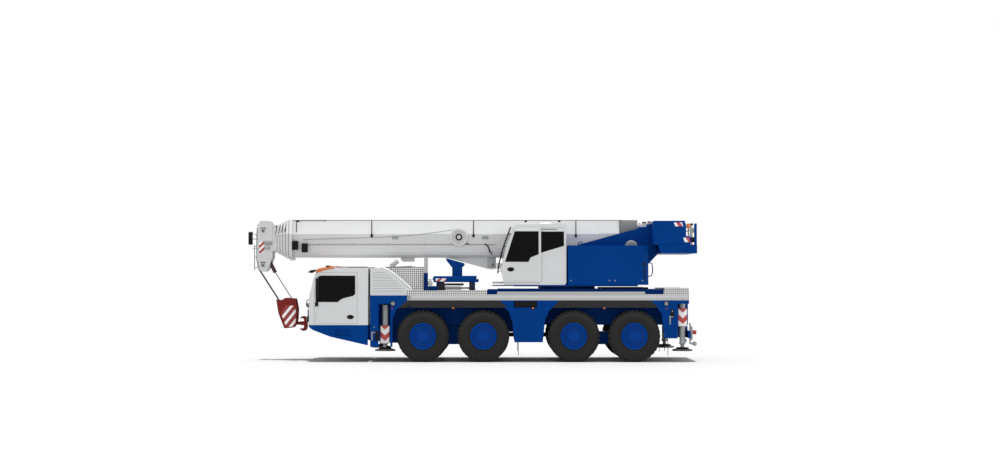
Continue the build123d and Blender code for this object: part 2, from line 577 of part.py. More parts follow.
# Superstructure
def superstructure_frame():
    base = rod_z(SLEW_X, 0, RING_RADIUS, RING_SPLIT, PLATFORM_Z0)
    floor = box(SLEW_X - 1000, HOUSE_REAR - 160, OPS_IN + 10, CHEEK_IN, PLATFORM_Z0, PLATFORM_Z1)
    floor += box(SLEW_X - 40, HOUSE_REAR - 160, -CHEEK_OUT, CHEEK_OUT, PLATFORM_Z0, PLATFORM_Z1)
    floor += box(SLEW_X - 1500, HOUSE_REAR - 300, -HOUSE_HALF + 40, -CHEEK_OUT + 1, PLATFORM_Z0 - 40,
                 PLATFORM_Z0)
    floor += box(SLEW_X - 700, HOUSE_REAR - 300, CHEEK_OUT - 1, HOUSE_HALF - 40, PLATFORM_Z0 - 40,
                 PLATFORM_Z0)
    floor += box(SLEW_X - 1000, HOUSE_REAR - 300, -CHEEK_OUT - 1, CHEEK_OUT + 1, PLATFORM_Z0 - 40,
                 PLATFORM_Z0)
    frame = base + floor
    z = PLATFORM_Z0 + 50
    cheek = side([(SLEW_X - 40, z), (SLEW_X + 300, HOUSE_TOP + 30), (PIVOT_X - 418, PIVOT_Z + 110),
                  (PIVOT_X + 168, PIVOT_Z + 260),
                  (PIVOT_X + 528, PIVOT_Z + 260), (PIVOT_X + 723, PIVOT_Z - 454),
                  (PIVOT_X + 399, PIVOT_Z - 793), (PIVOT_X + 168, z)],
                 CHEEK_IN, CHEEK_OUT)
    frame += cheek + mirror(cheek, about=Plane.XZ)
    # Stub pins at the boom foot and the cylinder foot
    for s in (-1, 1):
        a, b = sorted((s * (BOOM_HALF - 60), s * (CHEEK_OUT + 30)))
        frame += rod_y(PIVOT_X, PIVOT_Z, 95, a, b)
        a, b = sorted((s * (BARREL_RADIUS - 90), s * CHEEK_OUT))
        frame += rod_y(FOOT[0], FOOT[1], 70, a, b)
    step = box(SLEW_X - 2100, SLEW_X - 1499, -940, -560, PLATFORM_Z0 - 30, PLATFORM_Z0)
    return frame + step


def machinery_housing():
    x0 = SLEW_X - 15
    cut = 150
    left = plan([(x0, -HOUSE_HALF), (HOUSE_REAR - cut, -HOUSE_HALF), (HOUSE_REAR, -HOUSE_HALF + cut),
                 (HOUSE_REAR, -CHEEK_OUT - 40),
                 (x0, -CHEEK_OUT - 40)], PLATFORM_Z0, HOUSE_TOP)
    x1 = SLEW_X - 650
    right = plan([(x1, HOUSE_HALF), (HOUSE_REAR - cut, HOUSE_HALF), (HOUSE_REAR, HOUSE_HALF - cut),
                  (HOUSE_REAR, CHEEK_OUT + 40),
                  (x1, CHEEK_OUT + 40)], PLATFORM_Z0, HOUSE_TOP)
    wall = 40
    left -= box(x0 + wall, HOUSE_REAR - cut - wall, -HOUSE_HALF + wall, -CHEEK_OUT - 40 - wall,
                PLATFORM_Z0 + wall, HOUSE_TOP - wall)
    right -= box(x1 + wall, HOUSE_REAR - cut - wall, CHEEK_OUT + 40 + wall, HOUSE_HALF - wall,
                 PLATFORM_Z0 + wall, HOUSE_TOP - wall)
    return group(left, right)


def counterweight():
    z = PIVOT_Z
    slab = side([(PIVOT_X + 729, z - 438), (TAIL_X, z - 438), (TAIL_X, z - 204), (PIVOT_X + 677, z - 204)],
                -TAIL_HALF, TAIL_HALF)
    wing = side([(PIVOT_X + 529, z - 196), (TAIL_X - 304, z - 196), (TAIL_X - 304, z + 380),
                 (TAIL_X - 360, z + 420),
                 (PIVOT_X + 529, z + 420)], -TAIL_HALF, -CHEEK_OUT)
    wing += box(PIVOT_X + 800, TAIL_X - 500, -TAIL_HALF + 40, -CHEEK_OUT, z - 210, z - 190)
    return slab + wing + mirror(wing, about=Plane.XZ)


def hoist_winch():
    x, z = DRUM
    w = CHEEK_OUT - GAP
    drum = rod_y(x, z, 190, -w, w)
    for y in (-440, 420):
        drum += rod_y(x, z, 270, y, y + 20)
    return drum


OPS_ROOF = OPS_Z0 + 1683.0
OPS_BACK = SLEW_X - 56.0
OPS_SIDE = [(SLEW_X - 1775, OPS_Z0), (SLEW_X - 1865, OPS_Z0 + 450), (SLEW_X - 1815, OPS_Z0 + 660),
            (SLEW_X - 1720, OPS_Z0 + 1060), (SLEW_X - 1500, OPS_ROOF - 83), (SLEW_X - 1370, OPS_ROOF),
            (OPS_BACK - 44, OPS_ROOF), (OPS_BACK, OPS_ROOF - 50), (OPS_BACK, OPS_Z0 + 60),
            (OPS_BACK - 44, OPS_Z0)]
OPS_SEAM = SLEW_X - 756
OPS_DOOR_TOP = OPS_ROOF - 60.0
OPS_GLASS_TOP = OPS_ROOF - 150.0
OPS_DOOR = [(SLEW_X - 1800, OPS_Z0 + 90), (SLEW_X - 1835, OPS_Z0 + 450), (SLEW_X - 1785, OPS_Z0 + 660),
            (SLEW_X - 1690, OPS_Z0 + 1060), (SLEW_X - 1475, OPS_DOOR_TOP), (OPS_SEAM, OPS_DOOR_TOP),
            (OPS_SEAM, OPS_Z0 + 90)]
OPS_DOOR_WINDOW = [(SLEW_X - 1735, OPS_Z0 + 645), (SLEW_X - 1110, OPS_Z0 + 645),
                   (SLEW_X - 1050, OPS_Z0 + 765),
                   (SLEW_X - 830, OPS_Z0 + 855), (SLEW_X - 830, OPS_GLASS_TOP),
                   (SLEW_X - 1450, OPS_GLASS_TOP)]
OPS_REAR_WINDOW = [(SLEW_X - 748, OPS_Z0 + 893), (SLEW_X - 127, OPS_Z0 + 1082),
                   (SLEW_X - 127, OPS_GLASS_TOP - 8),
                   (SLEW_X - 748, OPS_GLASS_TOP - 8)]
OPS_WALL_Y = OPS_OUT + 45


def ops_hull(d):
    return side(inset(OPS_SIDE, d), OPS_WALL_Y + d, OPS_IN - d)


def ops_screen(d):
    y0, y1 = OPS_WALL_Y + 70 + d, OPS_IN - 70 - d
    z0, z1 = OPS_Z0 + 480 + d, OPS_ROOF - 115 - d
    return [(y0, z0), (y1, z0), (y1, z1), (y0, z1)]


def crane_cab_shell():
    shell = ops_hull(0) - ops_hull(OPS_WALL)
    shell -= side(inset(OPS_DOOR, 60), OPS_WALL_Y - 1, OPS_WALL_Y + OPS_WALL + 1)
    shell -= side(OPS_REAR_WINDOW, OPS_WALL_Y - 1, OPS_WALL_Y + OPS_WALL + 1)
    shell -= across(ops_screen(0), SLEW_X - 1900, SLEW_X - 1500)
    rail = OPS_DOOR_TOP - 37
    shell += box(SLEW_X - 1450, SLEW_X - 130, OPS_OUT + 35 + GAP, OPS_WALL_Y + 1, rail, rail + 28)
    return shell


def crane_cab_glass():
    screen = (ops_hull(12) - ops_hull(22)) & across(ops_screen(GAP), SLEW_X - 1900, SLEW_X - 1500)
    back = side(inset_window(OPS_REAR_WINDOW), OPS_WALL_Y + 12, OPS_WALL_Y + 20)
    return group(screen, back)


def crane_cab_interior():
    y = (OPS_WALL_Y + OPS_IN) / 2
    z = OPS_Z0 + OPS_WALL
    x = SLEW_X - 1100
    seat = box(x - 180, x + 180, y - 150, y + 150, z, z + 331)
    seat += box(x - 300, x + 240, y - 240, y + 240, z + 330, z + 450)
    seat += side([(x + 160, z + 440), (x + 280, z + 440), (x + 440, z + 1120), (x + 340, z + 1140)],
                 y - 220, y + 220)
    for s in (-1, 1):
        seat += box(x - 200, x + 200, y + s * 280 - 45, y + s * 280 + 45, z + 420, z + 640)
    desk = box(x - 600, x - 450, y - 90, y + 90, z, z + 700)
    return group(seat, desk)


def crane_cab_door():
    y0, y1 = OPS_OUT, OPS_OUT + 35
    door = side(OPS_DOOR, y0, y1) - side(OPS_DOOR_WINDOW, y0 - 1, y1 + 1)
    door -= Pos(SLEW_X - 1590, y0, OPS_Z0 + 430) * (Rot(90, 0, 0) * Cylinder(60, 36))
    return door


def crane_cab_door_glass():
    return side(inset_window(OPS_DOOR_WINDOW), OPS_OUT + 12, OPS_OUT + 20)


# Lift cylinder, opened at the rod's eye
RISE = atan2(EYE[1] - FOOT[1], FOOT[0] - EYE[0])
LIFT_LENGTH = hypot(EYE[1] - FOOT[1], FOOT[0] - EYE[0])


def along(t):
    return (FOOT[0] - t * cos(RISE), 0, FOOT[1] + t * sin(RISE))


def lift_cylinder_barrel():
    barrel = strut(along(60), along(LIFT_LENGTH - 480), BARREL_RADIUS)
    barrel += rod_y(FOOT[0], FOOT[1], 150, -BARREL_RADIUS - 10, BARREL_RADIUS + 10)
    barrel -= rod_y(FOOT[0], FOOT[1], 70 + GAP, -500, -BARREL_RADIUS + 100)
    barrel -= rod_y(FOOT[0], FOOT[1], 70 + GAP, BARREL_RADIUS - 100, 500)
    return barrel - strut(along(220), along(LIFT_LENGTH), PISTON_RADIUS + 1)


def lift_cylinder_rod():
    rod = strut(along(260), along(LIFT_LENGTH - 330), PISTON_RADIUS + 1 - GAP)
    tongue = side([(-1, -85), (240, -85), (240, 85), (-1, 85)], -60, 60)
    tongue = Pos(*along(LIFT_LENGTH - 100)) * (Rot(0, degrees(RISE), 0) * tongue)
    rod += tongue
    rod += rod_y(EYE[0], EYE[1], 125, -60, 60)
    return rod - rod_y(EYE[0], EYE[1], 62, -200, 200)


# Boom
def collar_block(d, x0, x1):
    # Collars stand proud below and at the sides, and hardly above
    return across(boom_outline(d), x0, x1) & box(x0, x1, -900, 900, 0, BOOM_TOP + 20)


def boom_base():
    fin = side([(SLEW_X - 3379, BOOM_BOTTOM), (SLEW_X - 2246, BOOM_BOTTOM - 312),
                (SLEW_X - 2002, BOOM_BOTTOM - 312),
                (SLEW_X - 2002, BOOM_BOTTOM + 103), (SLEW_X - 3379, BOOM_BOTTOM + 103)], -140, 140)
    fin -= box(SLEW_X - 2300, SLEW_X - 1900, -67, 67, BOOM_BOTTOM - 400, BOOM_BOTTOM - 20)
    base = across(boom_outline(0), BASE_FRONT, BOOM_REAR) + fin
    base += collar_block(-COLLAR_PROUD, BASE_FRONT, BASE_FRONT + COLLAR_PITCH)
    base += across(boom_outline(-14), PIVOT_X - 900, BOOM_REAR)
    base += side([(SLEW_X - 4694, BOOM_BOTTOM + 60), (SLEW_X - 4694, BOOM_BOTTOM - 60),
                  (SLEW_X - 4640, BOOM_BOTTOM - 112),
                  (SLEW_X - 4309, BOOM_BOTTOM - 112), (SLEW_X - 4309, BOOM_BOTTOM + 60)], -110, 110)
    base -= across(boom_outline(BOOM_WALL), BASE_FRONT + COLLAR_PITCH, PIVOT_X - 420)
    base -= across(boom_outline(BOOM_STEP - 0.5), BASE_FRONT - 1, BASE_FRONT + COLLAR_PITCH + 1)
    base -= rod_y(PIVOT_X, PIVOT_Z, 95 + GAP, -BOOM_HALF - 50, -BOOM_HALF + 62)
    base -= rod_y(PIVOT_X, PIVOT_Z, 95 + GAP, BOOM_HALF - 62, BOOM_HALF + 50)
    reel = rod_y(SLEW_X - 3039, PIVOT_Z + 30, 255, -BOOM_HALF - 46, -BOOM_HALF + 5)
    reel -= rod_y(SLEW_X - 3039, PIVOT_Z + 30, 190, -BOOM_HALF - 47, -BOOM_HALF - 25)
    reel += rod_y(SLEW_X - 3039, PIVOT_Z + 30, 70, -BOOM_HALF - 60, -BOOM_HALF)
    return base + reel


def section_front(k):
    return BASE_FRONT - k * COLLAR_PITCH


def boom_section(k):
    d = k * BOOM_STEP
    rear = PIVOT_X - 440 - 40 * k
    front = section_front(k)
    tube = across(boom_outline(d), front, rear) - across(boom_outline(d + BOOM_WALL), front - 1, rear + 1)
    collar = collar_block(d - COLLAR_PROUD + 12 * k, front, front + COLLAR_LENGTH)
    lip = BOOM_STEP - 0.5 if k < SECTIONS else BOOM_WALL
    tube += collar - across(boom_outline(d + lip), front - 1, front + COLLAR_LENGTH + 1)
    # Wear pads ride inside the section outside
    tube += boom_pads(d, rear)
    return tube


def boom_pads(d, rear):
    gap = BOOM_STEP - BOOM_WALL - GAP
    pads = box(rear - 160, rear, -100, 100, BOOM_BOTTOM + d - gap, BOOM_BOTTOM + d + 2)
    pads += box(rear - 160, rear, -180, 180, BOOM_TOP - d - 2, BOOM_TOP - d + gap)
    return pads


def boom_head():
    x0, x1 = HEAD_FRONT, HEAD_REAR
    outline = [(x0 + 90, HEAD_TOP), (x0, HEAD_TOP - 130), (x0, HEAD_TOP - 700),
               (x0 + 20, HEAD_BOTTOM + 190), (x0 + 90, HEAD_BOTTOM + 40),
               (x0 + 174, HEAD_BOTTOM), (x0 + 270, HEAD_BOTTOM + 30), (x0 + 350, HEAD_BOTTOM + 190),
               (x1, HEAD_BOTTOM + 420),
               (x1, HEAD_TOP - 130), (x1 - 90, HEAD_TOP)]
    cheek = side(outline, HEAD_HALF, HEAD_HALF + 28)
    head = cheek + mirror(cheek, about=Plane.XZ)
    head += box(x1 - 60, section_front(SECTIONS) + 5, -HEAD_HALF - 20, HEAD_HALF + 20, BOOM_BOTTOM + 190,
                BOOM_TOP - 190)
    head += box(x0 + 190, x0 + 250, -HEAD_HALF - 1, HEAD_HALF + 1, BOOM_BOTTOM + 330, BOOM_TOP - 500)
    for (x, z), ys in ((SHEAVE_UP, (-60, 60)), (SHEAVE_LOW, (-2 * FALL_Y, -FALL_Y, FALL_Y, 2 * FALL_Y))):
        head += rod_y(x, z, 60, -HEAD_HALF - 50, HEAD_HALF + 50)
        for y in ys:
            head += rod_y(x, z, SHEAVE_RADIUS, y - SHEAVE_HALF, y + SHEAVE_HALF)
    # Wind gauge on its arm
    gauge = rod_z(SLEW_X - HEAD_REACH + 60, -HEAD_HALF - 14, 60, PIVOT_Z - 190, PIVOT_Z + 190)
    gauge += box(SLEW_X - HEAD_REACH + 60, x0 + 5, -HEAD_HALF - 26, -HEAD_HALF - 4, PIVOT_Z - 40, PIVOT_Z)
    return head + gauge


# Hook block and its falls
FALL_RUN = (0.5445, -0.8387)
FALL_LENGTH = 1200.0
FALL_OFFSET = SHEAVE_RADIUS + ROPE_RADIUS + GAP
FALL_TOP = (SHEAVE_LOW[0] + FALL_OFFSET * FALL_RUN[1], SHEAVE_LOW[1] - FALL_OFFSET * FALL_RUN[0])
FALL_END = (FALL_TOP[0] + FALL_LENGTH * FALL_RUN[0], FALL_TOP[1] + FALL_LENGTH * FALL_RUN[1])
DEAD_TOP = (SLEW_X - 8413.0, BOOM_BOTTOM - 123.0)
DEAD_SOCKET = (SLEW_X - 8260.0, BOOM_BOTTOM - 420.0)
DEAD_END = (SLEW_X - 7725.0, BOOM_BOTTOM - 1257.0)
FALL_Y = 75.0
SHEAVE_HALF = 22.0
BLOCK_HORN = (SLEW_X - 8206, BOOM_BOTTOM - 1169)
BLOCK_NOTCH = (SLEW_X - 8094, BOOM_BOTTOM - 1226)
BLOCK_BODY = [(SLEW_X - 7946, BOOM_BOTTOM - 1135), (SLEW_X - 7665, BOOM_BOTTOM - 1158),
              (SLEW_X - 7608, BOOM_BOTTOM - 1453),
              (SLEW_X - 7620, BOOM_BOTTOM - 1720), (SLEW_X - 7642, BOOM_BOTTOM - 1859),
              (SLEW_X - 7722, BOOM_BOTTOM - 1972),
              (SLEW_X - 7969, BOOM_BOTTOM - 1995), (SLEW_X - 8060, BOOM_BOTTOM - 1768),
              (SLEW_X - 8139, BOOM_BOTTOM - 1564),
              (SLEW_X - 8173, BOOM_BOTTOM - 1362)]
BLOCK = [BLOCK_HORN, BLOCK_NOTCH] + BLOCK_BODY


def hook_block():
    block = side(BLOCK, -210, -185) + side(BLOCK, 185, 210)
    block += side(inset([BLOCK_HORN] + BLOCK_BODY, 40), -186, 186)
    hx, hz = SLEW_X - 7442, BOOM_BOTTOM - 1855
    hook = rod_x(0, hz, 45, SLEW_X - 7720, hx + 30)
    for s in (-1, 1):
        horn = rod_y(hx - 5, hz + s * 105, 100, -45, 45) - rod_y(hx - 30, hz + s * 110, 58, -60, 60)
        horn -= box(hx - 160, hx - 40, -60, 60, hz + s * 110 - 55, hz + s * 110 + 55)
        hook += horn
    for y in (-FALL_Y, FALL_Y):
        block -= fall(FALL_TOP, FALL_END, y, ROPE_RADIUS + GAP)
    block -= fall(DEAD_SOCKET, DEAD_END, 0, ROPE_RADIUS + GAP)
    return block + hook


def fall(top, end, y, r):
    return strut((top[0], y, top[1]), (end[0], y, end[1]), r)


def hoist_falls():
    # Two reeved falls, and the dead end in its wedge socket between the sheaves
    falls = [fall(FALL_TOP, FALL_END, y, ROPE_RADIUS) for y in (-FALL_Y, FALL_Y)]
    dead = fall(DEAD_SOCKET, DEAD_END, 0, ROPE_RADIUS) + fall(DEAD_TOP, DEAD_SOCKET, 0,
                                                              FALL_Y - SHEAVE_HALF - GAP)
    return group(falls, dead)


def main():
    os.makedirs("parts", exist_ok=True)
    nodes = {
        "chassis_frame": chassis_frame(), "drivetrain": drivetrain(), "body_skirts": body_skirts(),
        "fenders": fenders(),
        "deck_plates": deck_plates(), "boom_rest": boom_rest(), "engine_cowl": engine_cowl(),
        "exhaust": exhaust(),
        "carrier_cab_shell": carrier_cab_shell(), "carrier_cab_glass": carrier_cab_glass(),
        "carrier_cab_interior": carrier_cab_interior(), "lamps": lamps(),
    }
    door, pane = carrier_door(), carrier_door_glass()
    nodes["carrier_door_left"] = door
    nodes["carrier_door_left_glass"] = pane
    nodes["carrier_door_right"] = mirror(door, about=Plane.XZ)
    nodes["carrier_door_right_glass"] = mirror(pane, about=Plane.XZ)
    for end, x, z, top in (("front", FRONT_JACK_X, FRONT_BEAM_Z, AXLE_Z + 821),
                           ("rear", REAR_JACK_X, REAR_BEAM_Z, AXLE_Z + 860)):
        for hand, s in (("left", -1), ("right", 1)):
            at = x if s < 0 else x - JACK_PITCH
            nodes[f"outrigger_beam_{end}_{hand}"] = outrigger_beam(at, z, s, top)
            nodes[f"outrigger_jack_{end}_{hand}"] = jack(at, s, top)
    for i, x in enumerate(AXLES):
        for hand, s in (("left", -1), ("right", 1)):
            nodes[f"knuckle_{i + 1}_{hand}"] = knuckle(x, s)
            nodes[f"wheel_{i + 1}_{hand}"] = wheel(x, s)
    nodes["superstructure_frame"] = superstructure_frame()
    nodes["machinery_housing"] = machinery_housing()
    nodes["counterweight"] = counterweight()
    nodes["hoist_winch"] = hoist_winch()
    nodes["crane_cab_shell"] = crane_cab_shell()
    nodes["crane_cab_glass"] = crane_cab_glass()
    nodes["crane_cab_interior"] = crane_cab_interior()
    nodes["crane_cab_door"] = crane_cab_door()
    nodes["crane_cab_door_glass"] = crane_cab_door_glass()
    nodes["lift_cylinder_barrel"] = lift_cylinder_barrel()
    nodes["lift_cylinder_rod"] = lift_cylinder_rod()
    nodes["boom_base"] = boom_base()
    for k in range(1, SECTIONS + 1):
        nodes[f"boom_section_{k}"] = boom_section(k) + boom_head() if k == SECTIONS else boom_section(k)
    nodes["hook_block"] = hook_block()
    nodes["hoist_falls"] = hoist_falls()
    for name, shape in nodes.items():
        export_step(shape, f"parts/{name}.step")
    print(len(nodes), "nodes")


main()
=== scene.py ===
# %% [markdown]
# A four-axle mobile crane in road trim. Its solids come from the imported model, which stays as it is. This
# lesson dresses them: paint, plate, rubber and glass first, then the small pieces that a maker would bolt
# on. All pieces could be drawn as one mesh, but each rides on the body that moves it, so they are kept
# apart.

# %% Load the frame
import json
from math import cos, pi, radians, sin

import bpy
from mathutils import Matrix, Vector


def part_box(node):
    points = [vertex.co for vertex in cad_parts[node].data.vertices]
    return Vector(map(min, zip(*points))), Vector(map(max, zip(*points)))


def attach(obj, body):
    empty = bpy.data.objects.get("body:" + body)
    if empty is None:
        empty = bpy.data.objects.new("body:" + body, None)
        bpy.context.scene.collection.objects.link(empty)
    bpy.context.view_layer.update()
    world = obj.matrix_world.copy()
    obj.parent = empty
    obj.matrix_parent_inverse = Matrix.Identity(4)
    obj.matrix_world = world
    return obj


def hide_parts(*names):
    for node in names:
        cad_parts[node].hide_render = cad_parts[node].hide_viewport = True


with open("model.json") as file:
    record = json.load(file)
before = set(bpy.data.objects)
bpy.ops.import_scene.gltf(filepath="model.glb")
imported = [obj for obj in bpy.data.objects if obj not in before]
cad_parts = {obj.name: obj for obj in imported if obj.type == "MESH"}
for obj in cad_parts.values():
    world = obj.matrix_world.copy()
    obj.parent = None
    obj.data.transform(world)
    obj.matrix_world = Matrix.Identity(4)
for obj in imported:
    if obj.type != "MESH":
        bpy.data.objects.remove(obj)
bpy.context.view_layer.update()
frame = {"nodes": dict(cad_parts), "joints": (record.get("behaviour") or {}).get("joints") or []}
nodes = frame["nodes"]
joint_at = {j["name"]: Vector(j["pos_m"]) for j in frame["joints"]}

# %% [markdown]
# The camera stands 40 m off the near wheels, a little below the cab roofs, and looks up by less than two
# degrees. Its lens could be guessed and tried, but here it follows from two sizes: the distance, and the
# width of a pixel of the 1000-pixel frame at the near wheels.

# %% Camera
VIEW_DISTANCE = 40.0
NEAR_SIDE = -1.3
PIXEL = 0.0275
PHOTO_WIDTH = 1000
PHOTO_HEIGHT = 466
VIEW_X = 0.836
VIEW_Z = 2.3
HORIZON_ROW = 278.4
SENSOR = 36.0

pitch = (HORIZON_ROW - PHOTO_HEIGHT / 2) * PIXEL / VIEW_DISTANCE
bpy.ops.object.camera_add(location=(VIEW_X, NEAR_SIDE - VIEW_DISTANCE, VIEW_Z),
                          rotation=(pi / 2 + pitch, 0, 0))
camera = bpy.context.object
camera.name = "photo_camera"
camera.data.sensor_width = SENSOR
camera.data.lens = SENSOR * VIEW_DISTANCE / (PIXEL * PHOTO_WIDTH)
bpy.context.scene.camera = camera
print("lens", round(camera.data.lens, 2))

# %% [markdown]
# Light: a white room, one broad sheet of light overhead and a sun, which draws the dark strip under the
# machine. Lamps alone would leave the sides in shade, so the room itself gives most of the light.

# %% Stage
FLOOR_SIZE = 400.0
ROOM_STRENGTH = 1.0
SUN_STRENGTH = 5.0
SUN_SPREAD = radians(1)
SUN_TILT = radians(1)
SHEET_STRENGTH = 60.0
SHEET_PLACE = (0.0, -16.0, 14.0)
SHEET_TILT = radians(48)
SHEET_SIZE = (18.0, 6.0)

scene = bpy.context.scene
scene.view_settings.view_transform = "Standard"
world = bpy.data.worlds.new("white_room")
scene.world = world
world.use_nodes = True
world.node_tree.nodes["Background"].inputs["Color"].default_value = (1.0, 1.0, 1.0, 1.0)
world.node_tree.nodes["Background"].inputs["Strength"].default_value = ROOM_STRENGTH

bpy.ops.object.select_all(action="DESELECT")
bpy.ops.mesh.primitive_plane_add(size=FLOOR_SIZE)
floor = bpy.context.object
floor.name = "pale_floor"

bpy.ops.object.light_add(type="SUN", rotation=(SUN_TILT, 0, 0))
bpy.context.object.data.energy = SUN_STRENGTH
bpy.context.object.data.angle = SUN_SPREAD
bpy.ops.object.light_add(type="AREA", location=SHEET_PLACE, rotation=(SHEET_TILT, 0, 0))
bpy.context.object.data.energy = SHEET_STRENGTH
bpy.context.object.data.shape = "RECTANGLE"
bpy.context.object.data.size, bpy.context.object.data.size_y = SHEET_SIZE
print("stage ready")

# %% [markdown]
# Materials are small node trees. They could be built by hand in the shader editor. In a script, one
# function turns an sRGB hex colour to linear light, and another adds a node with its settings and links,
# so each finish stays short.

# %% Node helpers


def linear(hex_colour):
    """sRGB hex to linear RGBA."""
    parts = [int(hex_colour[i:i + 2], 16) / 255 for i in (1, 3, 5)]
    values = [c / 12.92 if c <= 0.04045 else ((c + 0.055) / 1.055) ** 2.4 for c in parts]
    return (*values, 1.0)


def add(tree, kind, settings=None, values=None, links=None):
    """Adds a node, with its settings, its sockets' values and the sockets that feed it."""
    node = tree.nodes.new(kind)
    for name, value in (settings or {}).items():
        setattr(node, name, value)
    for socket, value in (values or {}).items():
        node.inputs[socket].default_value = value
    for socket, source in (links or {}).items():
        tree.links.new(source, node.inputs[socket])
    return node


def start(name):
    """A new material with its tree, its shader and the piece's own coordinates."""
    material = bpy.data.materials.new(name)
    material.use_nodes = True
    tree = material.node_tree
    shader = tree.nodes["Principled BSDF"]
    place = add(tree, "ShaderNodeTexCoord")
    return material, tree, shader, place.outputs["Object"]


# %% [markdown]
# Two-pack enamel covers most of the machine. Sprayed paint is even from afar, but a broad panel drifts a
# little in tone, and its gloss breaks over a faint orange peel. A flat colour would do from far off and
# look like plastic up close. The peel is really about 2 mm, drawn here at 12 mm to show.

# %% Enamel paints
PEEL = 0.012
PANEL_DRIFT = 0.9


def enamel(name, colour, shade, roughness, coat, shine=0.4):
    material, tree, shader, place = start(name)
    drift = add(tree, "ShaderNodeTexNoise", values={"Scale": 1 / PANEL_DRIFT, "Detail": 3.0},
                links={"Vector": place})
    tone = add(tree, "ShaderNodeMix", {"data_type": "RGBA"}, {6: linear(colour), 7: linear(shade)},
               {0: drift.outputs["Fac"]})
    tree.links.new(tone.outputs[2], shader.inputs["Base Color"])
    scuff = add(tree, "ShaderNodeTexNoise", values={"Scale": 7.0, "Detail": 5.0}, links={"Vector": place})
    gloss = add(tree, "ShaderNodeMapRange", values={"To Min": roughness - 0.06, "To Max": roughness + 0.08},
                links={"Value": scuff.outputs["Fac"]})
    tree.links.new(gloss.outputs["Result"], shader.inputs["Roughness"])
    peel = add(tree, "ShaderNodeTexNoise", values={"Scale": 1 / PEEL, "Detail": 1.0},
               links={"Vector": place})
    bump = add(tree, "ShaderNodeBump", values={"Strength": 0.05, "Distance": 0.002},
               links={"Height": peel.outputs["Fac"]})
    tree.links.new(bump.outputs["Normal"], shader.inputs["Normal"])
    shader.inputs["Coat Weight"].default_value = coat
    shader.inputs["Specular IOR Level"].default_value = shine
    shader.inputs["Coat Roughness"].default_value = 0.08
    return material


blue = enamel("blue_enamel", "#003A82", "#003274", 0.36, 0.0, 0.03)
# Frame blue is the body blue made a little lighter: painted light for the parts in shade under the body.
frame_blue_lit = enamel("frame_blue_lit_enamel", "#003C88", "#00347A", 0.42, 0.0, 0.03)
dark_blue = enamel("dark_blue_enamel", "#00235A", "#001E50", 0.42, 0.0, 0.03)
cover_grey = enamel("cover_grey_enamel", "#7E8080", "#787A7A", 0.42, 0.05, 0.2)
rim_blue = enamel("rim_blue_enamel", "#003D8E", "#003682", 0.3, 0.0, 0.06)
white = enamel("white_enamel", "#CBCDCE", "#C4C6C7", 0.32, 0.2, 0.3)
boom_paint = enamel("boom_grey_enamel", "#C8C9CA", "#C0C1C2", 0.38, 0.15, 0.3)
deck_light = enamel("deck_light_enamel", "#B6B7B7", "#AEAFAF", 0.4, 0.05, 0.2)
barrel_grey = enamel("barrel_grey_enamel", "#A9ABAB", "#9C9E9E", 0.4, 0.1, 0.3)
dark_grey = enamel("dark_grey_enamel", "#5A5C5E", "#4E5052", 0.45, 0.1, 0.3)
grey_paint = enamel("mid_grey_enamel", "#9A9C9C", "#8A8C8C", 0.45, 0.1, 0.3)
orange_lens = enamel("amber_polycarbonate", "#BC6A34", "#B0602C", 0.25, 0.2, 0.3)
red_lens = enamel("red_polycarbonate", "#B0261E", "#981C16", 0.2, 0.3, 0.3)

# %% [markdown]
# Cast and moulded parts: tyre rubber and grained polypropylene scatter light, so both are rough and have
# a fine pebbled bump. The pebbles could be modelled, but at this size a bump costs nothing and looks the
# same. The grain is about 1 mm on the real fender, drawn at 8 mm to show.

# %% Rubber, plastic and dark castings


def grained(name, colour, shade, roughness, grain, depth, shine=0.25):
    material, tree, shader, place = start(name)
    pebble = add(tree, "ShaderNodeTexVoronoi", values={"Scale": 1 / grain}, links={"Vector": place})
    cloud = add(tree, "ShaderNodeTexNoise", values={"Scale": 3.0, "Detail": 6.0}, links={"Vector": place})
    tone = add(tree, "ShaderNodeMix", {"data_type": "RGBA"}, {6: linear(colour), 7: linear(shade)},
               {0: cloud.outputs["Fac"]})
    tree.links.new(tone.outputs[2], shader.inputs["Base Color"])
    bump = add(tree, "ShaderNodeBump", values={"Strength": depth, "Distance": 0.003},
               links={"Height": pebble.outputs["Distance"]})
    tree.links.new(bump.outputs["Normal"], shader.inputs["Normal"])
    shader.inputs["Roughness"].default_value = roughness
    shader.inputs["Specular IOR Level"].default_value = shine
    return material


rubber = grained("tyre_rubber", "#252524", "#1F1F1E", 0.8, 0.010, 0.15, 0.2)
plastic = grained("grained_polypropylene", "#292929", "#222222", 0.62, 0.008, 0.12, 0.2)
black_plastic = grained("black_abs", "#0D0D0D", "#080808", 0.4, 0.006, 0.08, 0.15)
casting = grained("dark_casting", "#1C2129", "#14181E", 0.6, 0.012, 0.2)
trim = grained("seat_trim", "#26262A", "#1D1D20", 0.8, 0.006, 0.2)

# %% [markdown]
# Bare metals: brushed steel, hard chrome on the rods, and the aluminium of the deck. The deck plate is
# pressed with a lattice of small raised studs about 58 mm apart. Thousands of modelled studs would be
# heavy, so two cosine waves raise them in the material. They run in x and in y + z, so that the lattice
# turns over the deck's edge.

# %% Metals
STUD_PITCH = 0.058
DECK_EDGE_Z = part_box("fenders")[1].z + 0.135


